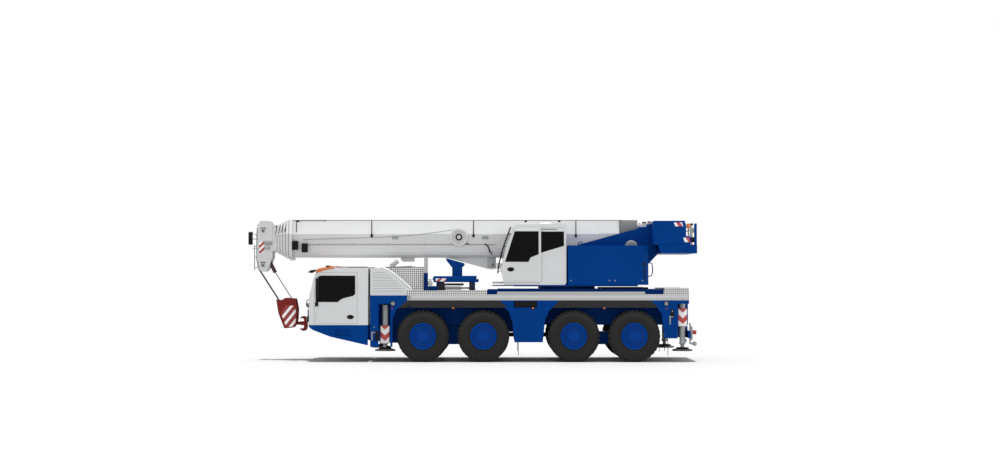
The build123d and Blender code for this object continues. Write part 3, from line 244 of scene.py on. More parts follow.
def metal(name, colour, shade, roughness, streak):
    material, tree, shader, place = start(name)
    lines = add(tree, "ShaderNodeMapping", values={"Scale": (3.0, 3.0, 3.0 * streak)},
                links={"Vector": place})
    cloud = add(tree, "ShaderNodeTexNoise", values={"Scale": 6.0, "Detail": 4.0},
                links={"Vector": lines.outputs[0]})
    tone = add(tree, "ShaderNodeMix", {"data_type": "RGBA"}, {6: linear(colour), 7: linear(shade)},
               {0: cloud.outputs["Fac"]})
    tree.links.new(tone.outputs[2], shader.inputs["Base Color"])
    gloss = add(tree, "ShaderNodeMapRange", values={"To Min": roughness - 0.08, "To Max": roughness + 0.1},
                links={"Value": cloud.outputs["Fac"]})
    tree.links.new(gloss.outputs["Result"], shader.inputs["Roughness"])
    shader.inputs["Metallic"].default_value = 1.0
    return material


steel = metal("brushed_steel", "#9A9B9C", "#7E8082", 0.36, 6.0)
dull_steel = metal("dull_steel", "#77746F", "#625F5B", 0.5, 1.0)
chrome = metal("hard_chrome", "#D8DADC", "#CFD2D4", 0.14, 1.0)
rope_wire = metal("greased_wire", "#4A4A4C", "#38383A", 0.5, 1.0)


def stud_plate():
    material, tree, shader, place = start("studded_aluminium")
    split = add(tree, "ShaderNodeSeparateXYZ", links={0: place})
    across = add(tree, "ShaderNodeMath", {"operation": "ADD"},
                 links={0: split.outputs["Y"], 1: split.outputs["Z"]})
    waves = []
    for source in (split.outputs["X"], across.outputs[0]):
        turn = add(tree, "ShaderNodeMath", {"operation": "MULTIPLY"}, {1: 2 * pi / STUD_PITCH}, {0: source})
        waves.append(add(tree, "ShaderNodeMath", {"operation": "COSINE"},
                         links={0: turn.outputs[0]}).outputs[0])
    both = add(tree, "ShaderNodeMath", {"operation": "ADD"}, links={0: waves[0], 1: waves[1]})
    stud = add(tree, "ShaderNodeMapRange", values={"From Min": 0.2, "From Max": 1.2},
               links={"Value": both.outputs[0]})
    high = add(tree, "ShaderNodeMath", {"operation": "GREATER_THAN"}, {1: DECK_EDGE_Z},
               {0: split.outputs["Z"]})
    stud_relief_and_highlight = add(tree, "ShaderNodeMath", {"operation": "MULTIPLY"},
                links={0: stud.outputs[0], 1: high.outputs[0]})
    # The raised studs are painted near white over the mid-grey plate: painted highlight on the studs.
    tone = add(tree, "ShaderNodeMix", {"data_type": "RGBA"}, {6: linear("#8E8F8E"), 7: linear("#F4F4F2")},
               {0: stud_relief_and_highlight.outputs[0]})
    tree.links.new(tone.outputs[2], shader.inputs["Base Color"])
    bump = add(tree, "ShaderNodeBump", values={"Strength": 0.6, "Distance": 0.004},
               links={"Height": stud_relief_and_highlight.outputs[0]})
    tree.links.new(bump.outputs["Normal"], shader.inputs["Normal"])
    shader.inputs["Metallic"].default_value = 0.35
    shader.inputs["Roughness"].default_value = 0.45
    return material


studs = stud_plate()

# %% [markdown]
# The windows are tinted so dark that the seats behind them hardly show. A tint could be a volume in the
# pane. A base colour under a little transmission is simpler, and survives the export.

# %% Glass


def tinted(name, colour, roughness, through, shine):
    material, tree, shader, place = start(name)
    film = add(tree, "ShaderNodeTexNoise", values={"Scale": 2.0}, links={"Vector": place})
    gloss = add(tree, "ShaderNodeMapRange", values={"To Min": roughness, "To Max": roughness + 0.04},
                links={"Value": film.outputs["Fac"]})
    tree.links.new(gloss.outputs["Result"], shader.inputs["Roughness"])
    shader.inputs["Base Color"].default_value = linear(colour)
    shader.inputs["Transmission Weight"].default_value = through
    shader.inputs["Specular IOR Level"].default_value = shine
    shader.inputs["IOR"].default_value = 1.45
    return material


glass = tinted("tinted_glass", "#030404", 0.02, 0.12, 0.05)
lens_glass = tinted("clear_lens", "#E8EAEC", 0.03, 0.8, 0.5)

# %% [markdown]
# Striped paint. The hook block carries white bars that climb to the rear, and the warning boards carry
# red and white bars or chevrons. An image would need a file, so each is a distance across the bars, cut
# by a modulo, on the piece's own coordinates.

# %% Stripes


def striped(name, colour, bar_colour, centre, lean, pitch, share, fold=0.0):
    """Bars in the x-z plane: lean is their slope, and fold mirrors them about the centre as chevrons."""
    material, tree, shader, place = start(name)
    split = add(tree, "ShaderNodeSeparateXYZ", links={0: place})
    x = add(tree, "ShaderNodeMath", {"operation": "SUBTRACT"}, {1: centre[0]},
            {0: split.outputs["X"]}).outputs[0]
    z = add(tree, "ShaderNodeMath", {"operation": "SUBTRACT"}, {1: centre[1]},
            {0: split.outputs["Z"]}).outputs[0]
    if fold:
        x = add(tree, "ShaderNodeMath", {"operation": "ABSOLUTE"}, links={0: x}).outputs[0]
    slope = add(tree, "ShaderNodeMath", {"operation": "MULTIPLY"}, {1: lean}, {0: x}).outputs[0]
    line = add(tree, "ShaderNodeMath", {"operation": "SUBTRACT"}, links={0: z, 1: slope}).outputs[0]
    step = add(tree, "ShaderNodeMath", {"operation": "DIVIDE"}, {1: pitch}, {0: line}).outputs[0]
    part = add(tree, "ShaderNodeMath", {"operation": "FLOORED_MODULO"}, {1: 1.0}, {0: step}).outputs[0]
    bar = add(tree, "ShaderNodeMath", {"operation": "LESS_THAN"}, {1: share}, {0: part}).outputs[0]
    cloud = add(tree, "ShaderNodeTexNoise", values={"Scale": 4.0, "Detail": 5.0}, links={"Vector": place})
    tone = add(tree, "ShaderNodeMix", {"data_type": "RGBA"}, {6: linear(colour), 7: linear(bar_colour)},
               {0: bar})
    worn = add(tree, "ShaderNodeHueSaturation", links={"Color": tone.outputs[2]})
    value = add(tree, "ShaderNodeMapRange", values={"To Min": 0.92, "To Max": 1.06},
                links={"Value": cloud.outputs["Fac"]})
    tree.links.new(value.outputs["Result"], worn.inputs["Value"])
    tree.links.new(worn.outputs["Color"], shader.inputs["Base Color"])
    shader.inputs["Roughness"].default_value = 0.4
    return material


hook_red = enamel("hook_red_enamel", "#7E2019", "#6E1A15", 0.4, 0.05, 0.15)

# %% [markdown]
# The solids are painted first. Each could be given its finish one by one, but most of them repeat with a
# number or a side in their names, so a table and a few rules cover all.

# %% Paint the solids
PAINT = {
    "chassis_frame": frame_blue_lit, "drivetrain": casting, "body_skirts": blue, "fenders": plastic,
    "deck_plates": studs,
    "boom_rest": blue, "engine_cowl": white, "exhaust": barrel_grey, "carrier_cab_shell": white,
    "carrier_cab_glass": glass,
    "carrier_cab_interior": trim, "lamps": orange_lens, "superstructure_frame": blue,
    "machinery_housing": blue,
    "counterweight": blue, "hoist_winch": cover_grey, "crane_cab_shell": white, "crane_cab_glass": glass,
    "crane_cab_interior": trim, "crane_cab_door": white, "crane_cab_door_glass": glass,
    "lift_cylinder_barrel": blue,
    "lift_cylinder_rod": chrome, "boom_base": boom_paint, "hook_block": hook_red, "hoist_falls": rope_wire,
}


def paint_of(name):
    """The finish of a node, also of those that repeat with a number or a side in their names."""
    if name in PAINT:
        return PAINT[name]
    if "glass" in name:
        return glass
    if name.startswith("carrier_door"):
        return white
    if name.startswith("boom_section"):
        return boom_paint
    if name.startswith("outrigger_beam"):
        return frame_blue_lit
    if name.startswith("outrigger_jack"):
        return steel
    return casting


for name, node in nodes.items():
    node.data.materials.clear()
    node.data.materials.append(paint_of(name))
print("painted", len(nodes))

floor.data.materials.append(grained("pale_screed", "#AAAAAA", "#A7A7A7", 0.9, 0.05, 0.02, 0.05))

# %% [markdown]
# Every added piece begins as a primitive. These helpers add one at its size and place, shape it in edit
# mode, and leave its place in the mesh, with the object at the origin, so that patterns and moving bodies
# stay in step.

# %% Modelling helpers


def deselect():
    bpy.ops.object.select_all(action="DESELECT")


def apply_place():
    bpy.ops.object.transform_apply(location=True, rotation=True, scale=True)
    return bpy.context.object


def edit(select=None):
    """Enters edit mode with the edges for which select(edge's two points) is true, or with everything."""
    mesh = bpy.context.object.data
    if select:
        mesh.polygons.foreach_set("select", [False] * len(mesh.polygons))
        mesh.vertices.foreach_set("select", [False] * len(mesh.vertices))
        chosen = [select(*[mesh.vertices[i].co for i in e.vertices]) for e in mesh.edges]
        mesh.edges.foreach_set("select", chosen)
    bpy.context.tool_settings.mesh_select_mode = (False, True, False)
    bpy.ops.object.mode_set(mode="EDIT")
    if not select:
        bpy.ops.mesh.select_all(action="SELECT")


def leave():
    bpy.ops.object.mode_set(mode="OBJECT")
    return bpy.context.object


def block(low, high, bevel=0.006, segments=2):
    """A box with its edges rounded off."""
    deselect()
    size = [b - a for a, b in zip(low, high)]
    middle = [(a + b) / 2 for a, b in zip(low, high)]
    bpy.ops.mesh.primitive_cube_add(size=1, location=middle, scale=size)
    apply_place()
    edit()
    bpy.ops.mesh.bevel(offset=min(bevel, min(size) * 0.45), segments=segments, affect="EDGES")
    return leave()


def bar(first, last, radius, sides=16, chamfer=0.2):
    """A round bar with its end rims chamfered."""
    deselect()
    run = Vector(last) - Vector(first)
    turn = run.to_track_quat("Z", "Y").to_euler()
    bpy.ops.mesh.primitive_cylinder_add(vertices=sides, radius=radius, depth=run.length, rotation=turn,
                                        location=(Vector(first) + Vector(last)) / 2)
    apply_place()
    edit(lambda a, b: abs((a - b).dot(run)) < 1e-6)
    bpy.ops.mesh.bevel(offset=min(radius, run.length) * chamfer, segments=1, affect="EDGES")
    return leave()


def outline(points, y0, y1, bevel=0.0):
    """A flat shape in the x-z plane, pulled out from y0 to y1."""
    deselect()
    bpy.ops.mesh.primitive_circle_add(vertices=len(points), fill_type="NGON")
    mesh = bpy.context.object.data
    for vertex, (x, z) in zip(mesh.vertices, points):
        vertex.co = (x, y0, z)
    edit()
    bpy.ops.mesh.extrude_region_move(TRANSFORM_OT_translate={"value": (0, y1 - y0, 0)})
    bpy.ops.mesh.select_all(action="SELECT")
    bpy.ops.mesh.normals_make_consistent(inside=False)
    if bevel:
        bpy.ops.mesh.bevel(offset=bevel, segments=2, affect="EDGES")
    return leave()


def lathe(profile, centre, axis=(0, 1, 0), steps=48):
    """A closed profile of (radius, offset along the axis) spun about the axis through centre."""
    deselect()
    bpy.ops.mesh.primitive_circle_add(vertices=len(profile), fill_type="NOTHING")
    mesh = bpy.context.object.data
    along = Vector(axis)
    out = Vector((1, 0, 0)) if abs(along.x) < 0.9 else Vector((0, 0, 1))
    for vertex, (r, a) in zip(mesh.vertices, profile):
        vertex.co = Vector(centre) + out * r + along * a
    edit()
    bpy.ops.mesh.spin(steps=steps, angle=2 * pi, center=centre, axis=axis)
    bpy.ops.mesh.select_all(action="SELECT")
    bpy.ops.mesh.remove_doubles(threshold=0.0001)
    bpy.ops.mesh.normals_make_consistent(inside=False)
    return leave()


def tube(points, radius, smooth=False, ring=False, sides=3):
    """A round tube along points, by corners or as a smooth line."""
    deselect()
    curve = bpy.data.curves.new("tube_line", "CURVE")
    curve.dimensions = "3D"
    spline = curve.splines.new("NURBS" if smooth else "POLY")
    spline.points.add(len(points) - 1)
    for point, place in zip(spline.points, points):
        point.co = (*place, 1.0)
    if smooth:
        spline.order_u = 3
        spline.use_endpoint_u = not ring
        spline.resolution_u = 6
    spline.use_cyclic_u = ring
    curve.bevel_depth = radius
    curve.bevel_resolution = sides
    curve.use_fill_caps = True
    line = bpy.data.objects.new("tube_line", curve)
    scene.collection.objects.link(line)
    line.select_set(True)
    bpy.context.view_layer.objects.active = line
    bpy.ops.object.convert(target="MESH")
    return bpy.context.object


def copy(piece, matrix):
    """A copy with its own mesh, moved in the mesh. A mirrored copy gets its faces turned out again."""
    twin = piece.copy()
    twin.data = piece.data.copy()
    scene.collection.objects.link(twin)
    twin.data.transform(matrix)
    if matrix.determinant() < 0:
        twin.data.flip_normals()
    return twin


def around(piece, centre, axis, count):
    """Copies spread evenly round an axis, the piece itself being the first of them."""
    shift = Matrix.Translation(centre)
    back = Matrix.Translation(-Vector(centre))
    turns = [2 * pi * k / count for k in range(1, count)]
    return [piece] + [copy(piece, shift @ Matrix.Rotation(a, 4, axis) @ back) for a in turns]


MIRROR_Y = Matrix.Scale(-1, 4, (0, 1, 0))


def piece(name, parts, body, material, slot, angle=35):
    """Joins parts into one named piece that rides on a body."""
    deselect()
    for part in parts:
        part.select_set(True)
    bpy.context.view_layer.objects.active = parts[0]
    if len(parts) > 1:
        bpy.ops.object.join()
    made = bpy.context.object
    bpy.ops.object.shade_smooth_by_angle(angle=radians(angle))
    made.name = name
    made.data.name = name
    made.data.materials.clear()
    made.data.materials.append(material)
    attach(made, body)
    print(name, len(made.data.polygons), "faces")
    return made


def pair(name, parts, body, material, slot, angle=35):
    """The piece with its mirror image on the other side of the machine, as one piece."""
    return piece(name, parts + [copy(p, MIRROR_Y) for p in parts], body, material, slot, angle)


# %% [markdown]
# Wheels. A crane tyre is a bulged carcass with deep shoulder lugs, on a flat-faced disc wheel. The
# carcass and the rim are spun from their profiles, one lug is shaped and copied round, and the finished
# wheel is copied to eight places. A bump map could draw the lugs, but they make the tyre's outline, so
# they are real.

# %% Wheels
TYRE_RADIUS = 0.712
LUGS = 34
LUG_DEPTH = 0.024
NUTS = 10
NUT_CIRCLE = 0.225
HUB_BOLTS = 12
TREAD = TYRE_RADIUS - LUG_DEPTH
CARCASS = [(0.345, -0.165), (0.368, -0.185), (0.43, -0.203), (0.52, -0.21), (0.6, -0.203), (0.655, -0.186),
           (TREAD - 0.008, -0.165),
           (TREAD, -0.14), (TREAD, 0.14), (TREAD - 0.008, 0.165), (0.655, 0.186), (0.6, 0.203),
           (0.52, 0.21), (0.43, 0.203),
           (0.368, 0.185), (0.345, 0.165)]
RIM = [(0.344, -0.19), (0.366, -0.205), (0.374, -0.2), (0.344, -0.165), (0.344, 0.165), (0.364, 0.196),
       (0.362, 0.206), (0.35, 0.212),
       (0.341, 0.209), (0.33, 0.19), (0.315, 0.165), (0.295, 0.152), (0.2, 0.15), (0.17, 0.158),
       (0.16, 0.192), (0.147, 0.2),
       (0.09, 0.203), (0.085, 0.197), (0.0, 0.2), (0.0, 0.09), (0.28, 0.1), (0.3, -0.1)]


def tyre_at_origin():
    parts = [lathe(CARCASS, (0, 0, 0), steps=72)]
    step = 2 * pi * TYRE_RADIUS / LUGS
    for hand in (-1, 1):
        lug = block((-step * 0.31, 0.02, TREAD - 0.02), (step * 0.31, 0.185, TYRE_RADIUS), bevel=0.007,
                    segments=1)
        for vertex in lug.data.vertices:
            x, y, r = vertex.co
            turn = (x + 0.35 * (y - 0.02)) / TYRE_RADIUS
            vertex.co = (r * sin(turn), y, r * cos(turn))
        lug.data.transform(Matrix.Scale(hand, 4, (0, 1, 0)))
        if hand < 0:
            lug.data.flip_normals()
        parts += around(lug, (0, 0, 0), "Y", LUGS)
        if hand > 0:
            for part in parts[-LUGS:]:
                part.data.transform(Matrix.Rotation(pi / LUGS, 4, "Y"))
    for a in (-0.205, 0.205):
        ring = lathe([(0.565, a * 0.99), (0.575, a * 1.012), (0.585, a * 0.985)], (0, 0, 0), steps=72)
        parts.append(ring)
    return parts


def rim_at_origin():
    parts = [lathe(RIM, (0, 0, 0), steps=64)]
    nut = bar((NUT_CIRCLE, 0.14, 0), (NUT_CIRCLE, 0.178, 0), 0.019, sides=6)
    stud = bar((NUT_CIRCLE, 0.17, 0), (NUT_CIRCLE, 0.192, 0), 0.011, sides=8)
    washer = bar((NUT_CIRCLE, 0.142, 0), (NUT_CIRCLE, 0.156, 0), 0.026, sides=12)
    for small in (nut, stud, washer):
        parts += around(small, (0, 0, 0), "Y", NUTS)
    bolt = bar((0.122, 0.19, 0), (0.122, 0.211, 0), 0.011, sides=6)
    parts += around(bolt, (0, 0, 0), "Y", HUB_BOLTS)
    return parts


def join_parts(parts, name):
    deselect()
    for part in parts:
        part.select_set(True)
    bpy.context.view_layer.objects.active = parts[0]
    bpy.ops.object.join()
    bpy.context.object.name = name
    bpy.ops.object.shade_smooth_by_angle(angle=radians(30))
    return bpy.context.object


tyre_master = join_parts(tyre_at_origin(), "tyre_master")
rim_master = join_parts(rim_at_origin(), "rim_master")
# The disc's hand holes are black discs on its face: painted shade for the dark seen through the holes.
HAND_HOLES = 10
HOLE_CIRCLE = 0.262
hole_shade_disc = bar((HOLE_CIRCLE, 0.14, 0), (HOLE_CIRCLE, 0.1535, 0), 0.021, sides=12)
hole_shade_master = join_parts(around(hole_shade_disc, (0, 0, 0), "Y", HAND_HOLES), "hole_shade_master")
hole_shade_master.data.transform(Matrix.Rotation(pi / HAND_HOLES, 4, "Y"))
for axle in range(1, 5):
    for hand, sign in (("left", -1), ("right", 1)):
        wheel = f"wheel_{axle}_{hand}"
        place = Matrix.Translation(joint_at[f"spin_{axle}_{hand}"]) @ Matrix.Rotation(axle * 0.4, 4, "Y")
        place = place @ Matrix.Scale(sign, 4, (0, 1, 0))
        for master, label, finish in ((tyre_master, "tyre", rubber), (rim_master, "rim", rim_blue),
                                      (hole_shade_master, "hand_hole_shade", black_plastic)):
            made = piece(f"{label}_{axle}_{hand}", [copy(master, place)], wheel, finish, "tyre_rubber", 30)
            if label != "hand_hole_shade":
                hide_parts(wheel)
for master in (tyre_master, rim_master, hole_shade_master):
    bpy.data.objects.remove(master)

# %% [markdown]
# The driver's doors have flush oval handles and rubber seals round the glass. A seal could be cut from
# the door's own edge. A tube laid along the window's outline gives the same round lip with few faces.
# Each piece is shaped on the left and mirrored, and each rides on its own door.

# %% Driver's cab doors
cab_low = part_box("carrier_cab_shell")[0]
CAB_SIDE = 1.25
DOOR_X = cab_low.x - 0.056
SEAL = 0.014
DOOR_WINDOW = [(0.366, 0.642), (0.962, 0.642), (1.03, 0.705), (1.127, 0.752), (1.38, 0.812), (1.432, 0.86),
               (1.432, 1.348),
               (0.49, 1.348), (0.43, 1.315), (0.4, 1.23), (0.374, 0.985)]
DOOR_HANDLE = (1.312, 0.22)
HANDLE_DISH = [(0.0, -0.01), (0.03, -0.01), (0.044, 0.002), (0.05, 0.008), (0.058, 0.006), (0.06, -0.014),
               (0.0, -0.016)]
OUTWARD = (0, -1, 0)


def each_side(name, parts, body, material, slot, angle=35):
    """A piece on the left body and its mirror image on the right one. The body's name has {} for its side."""
    twins = [copy(p, MIRROR_Y) for p in parts]
    piece(f"{name}_left", parts, body.format("left"), material, slot, angle)
    piece(f"{name}_right", twins, body.format("right"), material, slot, angle)


def oval_handle(x, y, z):
    dish = lathe(HANDLE_DISH, (0, 0, 0), axis=OUTWARD, steps=32)
    dish.data.transform(Matrix.Diagonal((1.7, 1.0, 1.0, 1.0)))
    grip = block((-0.075, -0.012, -0.014), (0.075, 0.004, 0.014), bevel=0.006)
    for part in (dish, grip):
        part.data.transform(Matrix.Translation((x, y, z)))
    return [dish, grip]


def seal_ring(points, x0, z0, y):
    return tube([(x0 + x, y, z0 + z) for x, z in points], SEAL, ring=True)


pane_bar = tube([(-3.908, -1.236, 2.362), (-3.99, -1.236, 1.80)], 0.008)
each_side("door_handle", oval_handle(DOOR_X + DOOR_HANDLE[0], -CAB_SIDE, cab_low.z + DOOR_HANDLE[1]),
          "carrier_door_{}", black_plastic, "cab_trim")
each_side("door_window_seal", [seal_ring(DOOR_WINDOW, DOOR_X, cab_low.z, -CAB_SIDE), pane_bar],
          "carrier_door_{}", black_plastic,
          "cab_trim")

# %% [markdown]
# The roof carries two amber lamps that hug its front slope, with thin rails behind them. In front are the
# mirrors, the grille and the wipers. The lamps could be boxes, but their side outline follows the roof,
# so it is drawn as points and pulled out sideways.

# %% Driver's cab roof and front
ROOF_LAMP = [(-4.23, 2.435), (-4.236, 2.471), (-4.194, 2.566), (-3.973, 2.61), (-3.846, 2.646),
             (-3.73, 2.626), (-3.71, 2.58),
             (-3.968, 2.53), (-4.158, 2.466)]
ROOF_ARM = [(-4.463, 2.465), (-4.347, 2.447), (-4.229, 2.508), (-4.262, 2.546), (-4.389, 2.526)]
GRILLE_BARS = 6

pair("roof_lamps", [outline(ROOF_LAMP, -1.262, -0.72, bevel=0.012)], "carrier", orange_lens, "lamp_plastic")
lamp_feet = [block((-3.962, -1.266, 2.615), (-3.85, -0.8, 2.655), bevel=0.01),
             outline(ROOF_ARM, -1.2, -1.1, bevel=0.008)]
lamp_feet.append(bar((-4.27, -1.15, 2.525), (-4.17, -1.15, 2.47), 0.018))
pair("mirror_arms", lamp_feet, "carrier", black_plastic, "cab_trim")

roof_rail = [tube([(-3.62, -1.15, 2.598), (-3.58, -1.15, 2.614), (-2.84, -1.15, 2.614),
                   (-2.81, -1.15, 2.598)], 0.011)]
roof_rail += [bar((x, -1.15, 2.592), (x, -1.15, 2.613), 0.009, sides=8) for x in (-3.4, -3.1)]
pair("roof_rails", roof_rail, "carrier", black_plastic, "cab_trim")

mirrors = [block((-4.25, -1.288, 1.53), (-4.165, -1.25, 1.66), bevel=0.016, segments=3)]
mirrors.append(block((-4.235, -1.288, 1.74), (-4.13, -1.252, 2.31), bevel=0.016, segments=3))
mirrors.append(tube([(-4.21, -1.27, 1.56), (-4.2, -1.275, 1.9), (-4.14, -1.275, 2.3), (-4.09, -1.26, 2.355),
                     (-4.06, -1.24, 2.36)], 0.012))
each_side("side_mirror", mirrors, "carrier_door_{}", black_plastic, "cab_trim")

front = cab_low.x
grille = [block((front - 0.014, -0.52, cab_low.z + 0.1), (front + 0.004, 0.52, cab_low.z + 0.42),
                bevel=0.006)]
for k in range(GRILLE_BARS):
    z = cab_low.z + 0.125 + 0.05 * k
    grille.append(block((front - 0.024, -0.5, z), (front - 0.008, 0.5, z + 0.022), bevel=0.005))
for y in (-0.45, 0.1):
    foot = (front - 0.012, y, cab_low.z + 0.5)
    tip = (front + 0.15, y + 0.42, cab_low.z + 1.14)
    grille.append(tube([foot, (front - 0.012, y + 0.1, cab_low.z + 0.56), tip], 0.011))
    grille.append(block((front - 0.03, y - 0.03, cab_low.z + 0.45),
                        (front + 0.01, y + 0.03, cab_low.z + 0.54), bevel=0.012))
for s in (-1, 1):
    grille.append(tube([(front + 0.01, s * 0.42, 1.71), (front - 0.05, s * 0.43, 1.67),
                        (front - 0.058, s * 0.43, 1.58), (front - 0.03, s * 0.43, 1.52)], 0.013))
    grille.append(block((front - 0.066, s * 0.43 - 0.06, 1.515), (front - 0.03, s * 0.43 + 0.06, 1.615),
                        bevel=0.012, segments=3))
piece("cab_grille_and_wipers", grille, "carrier", black_plastic, "cab_trim")

# %% [markdown]
# Lamps. The solid lamps give way to real ones: a black housing behind a clear or coloured lens. The front
# lamps lie in the cab's corner, the work lamps on the skirts, and the rear ones in a row of red and
# amber. One painted solid would be quicker, but a lens needs its own material to catch the light. Round
# lamps are spun from half of their section.

# %% Lamps
lamp_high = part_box("lamps")[1]
WORK_LAMPS = (-2.1065, 5.409)
WORK_LAMP_Z = 1.607
SKIRT_Y = -1.27
REAR_FACE = lamp_high.x - 0.05
REAR_LAMP_Z = (0.69, 0.815)
REAR_LENSES = ((-1.12, -1.0, "red"), (-0.99, -0.88, "amber"), (-0.87, -0.76, "red"))
DISH = [(0.0, 0.0), (0.05, 0.0), (0.058, 0.02), (0.062, 0.03), (0.07, 0.028), (0.072, 0.012),
        (0.068, -0.01), (0.0, -0.012)]
LENS = [(0.0, 0.026), (0.03, 0.025), (0.056, 0.02), (0.056, 0.012), (0.0, 0.012)]

housings = [lathe(DISH, (x, SKIRT_Y, WORK_LAMP_Z), axis=OUTWARD, steps=32) for x in WORK_LAMPS]
housings.append(block((front + 0.02, -0.9, cab_low.z + 0.08), (front + 0.1, -0.55, cab_low.z + 0.25),
                      bevel=0.02))
housings += [block((REAR_FACE, -1.14, 0.67), (REAR_FACE + 0.02, -0.74, 0.835), bevel=0.006)]
lamp_housings = pair("lamp_housings", housings, "carrier", black_plastic, "lamp_plastic")
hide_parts("lamps")
lenses = [lathe(LENS, (x, SKIRT_Y, WORK_LAMP_Z), axis=OUTWARD, steps=32) for x in WORK_LAMPS]
for y in (-0.82, -0.64):
    lenses.append(lathe([(0.0, 0.03), (0.04, 0.027), (0.07, 0.015), (0.07, 0.0), (0.0, 0.0)],
                        (front + 0.025, y, cab_low.z + 0.165),
                        axis=(-1, 0, 0), steps=32))
pair("clear_lenses", lenses, "carrier", lens_glass, "lamp_plastic")
for colour, finish in (("red", red_lens), ("amber", orange_lens)):
    row = [block((REAR_FACE + 0.015, a, REAR_LAMP_Z[0]), (REAR_FACE + 0.045, b, REAR_LAMP_Z[1]),
                 bevel=0.012, segments=3)
           for a, b, kind in REAR_LENSES if kind == colour]
    pair(f"rear_{colour}_lenses", row, "carrier", finish, "lamp_plastic")
SIDE_MARKERS = (-0.448, 1.742, 3.7)
markers = [block((x - 0.03, -1.286, 1.463), (x + 0.03, -1.27, 1.499), bevel=0.01,
                 segments=3) for x in SIDE_MARKERS]
pair("side_markers", markers, "carrier", orange_lens, "lamp_plastic")
cups = [block((x - 0.06, -1.281, 1.45), (x + 0.06, -1.24, 1.51), bevel=0.012) for x in SIDE_MARKERS]
pair("side_marker_cups", cups, "carrier", black_plastic, "lamp_plastic")
reflectors = [block((x - 0.024, -1.284, 1.46), (x + 0.024, -1.274, 1.484), bevel=0.004) for x in (-2.13,
                                                                                                  5.42)]
pair("side_reflectors", reflectors, "carrier", red_lens, "lamp_plastic")

# %% [markdown]
# The warning boards on the outriggers are thin plates with red chevrons that point down. One board could
# be copied four times, but its stripes are centred in its material, so each has a material of its own.
# The jacks beside them get collars, sleeves and round shoes, spun about the jack's axis.

# %% Chevron boards
BOARD_HALF = (0.122, 0.245)
PAD_SHOE = [(0.0, 0.0), (0.275, 0.0), (0.2805, 0.008), (0.2805, 0.03), (0.25, 0.046), (0.175, 0.06),
            (0.172, 0.095), (0.08, 0.102),
            (0.0, 0.102)]
BOARD_Y = -1.0845
BOARD_Z = {"front": 0.755, "rear": 1.225}
CHEVRON_PITCH = 0.31
UPWARD = (0, 0, 1)

for end in ("front", "rear"):
    for hand, sign in (("left", 1), ("right", -1)):
        low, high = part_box(f"outrigger_jack_{end}_{hand}")
        x = (low.x + high.x) / 2
        y = (low.y + high.y) / 2
        z = BOARD_Z[end]
        beam_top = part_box(f"outrigger_beam_{end}_{hand}")[1].z
        board = block((x - BOARD_HALF[0], BOARD_Y - 0.005, z - BOARD_HALF[1]),
                      (x + BOARD_HALF[0], BOARD_Y, z + BOARD_HALF[1]), bevel=0.002)
        if sign < 0:
            board.data.transform(MIRROR_Y)
            board.data.flip_normals()
        finish = striped(f"chevron_{end}_{hand}", "#F1EFED", "#B8403A", (x, z + 0.13), 0.9, CHEVRON_PITCH,
                         0.5, fold=1.0)
        piece(f"chevron_board_{end}_{hand}", [board], f"outrigger_{end}_{hand}", finish, "jack_steel")
        collar = [lathe([(0.074, 0.0), (0.092, 0.006), (0.092, 0.05), (0.074, 0.056)], (x, y, 0.49),
                        axis=UPWARD, steps=32)]
        top = lathe([(0.0, 0.0), (0.08, 0.0), (0.08, 0.03), (0.05, 0.045), (0.0, 0.048)],
                    (x, y, beam_top - 0.002),
                    axis=UPWARD, steps=32)
        sleeve = lathe([(0.06, 0.0), (0.0765, 0.0), (0.0765, beam_top - z - 0.25),
                        (0.06, beam_top - z - 0.25)],
                       (x, y, z + 0.25), axis=UPWARD, steps=32)
        if end == "rear":
            collar.append(lathe([(0.06, 0.0), (0.0765, 0.0), (0.0765, z - 0.79), (0.06, z - 0.79)],
                                (x, y, 0.54), axis=UPWARD, steps=32))
        piece(f"jack_collar_{end}_{hand}", collar + [top, sleeve], f"outrigger_{end}_{hand}", barrel_grey,
              "jack_steel")
        shoe = lathe(PAD_SHOE, (x, y, low.z), axis=UPWARD, steps=48)
        piece(f"jack_shoe_{end}_{hand}", [shoe], f"jack_{end}_{hand}", black_plastic, "jack_steel")

# %% [markdown]
# Along the boom runs a hand line on three posts, and on its side sit two black lamps, the cable reel and
# a conduit. The line is a thin tube and not a painted stripe, so that it stands off the boom in every
# view.

# %% Boom furniture
boom_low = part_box("boom_base")[0]
BOOM_SIDE = -0.4
LINE_Y = -0.425
LINE_Z = 3.932
LINE_POSTS = (-2.77, 0.09, 2.97)
LINE_ENDS = (-4.89, 4.25)
REEL = (-0.3185, 3.461)
CONDUIT_Z = 3.2526
BOOM_LAMPS = ((-5.0, 3.1), (-4.73, 3.03))

line = [tube([(LINE_ENDS[0], LINE_Y, LINE_Z), (LINE_ENDS[1], LINE_Y, LINE_Z)], 0.009)]
for x in LINE_POSTS:
    line.append(bar((x, LINE_Y, 3.467), (x, LINE_Y, LINE_Z), 0.013, sides=12))
    line.append(block((x - 0.03, -0.43, 3.46), (x + 0.03, -0.395, 3.54), bevel=0.006))
line.append(bar((LINE_ENDS[0], LINE_Y, 3.6), (LINE_ENDS[0], LINE_Y, LINE_Z), 0.012, sides=12))
piece("hand_line", line, "boom_base", black_plastic, "rope_steel")
piece("line_clamps",
      [block((x - 0.035, LINE_Y - 0.02, LINE_Z - 0.05), (x + 0.035, LINE_Y + 0.02, LINE_Z + 0.005),
             bevel=0.008)
                      for x in (1.56, 2.5, LINE_ENDS[0] + 0.05)], "boom_base", black_plastic, "cab_trim")

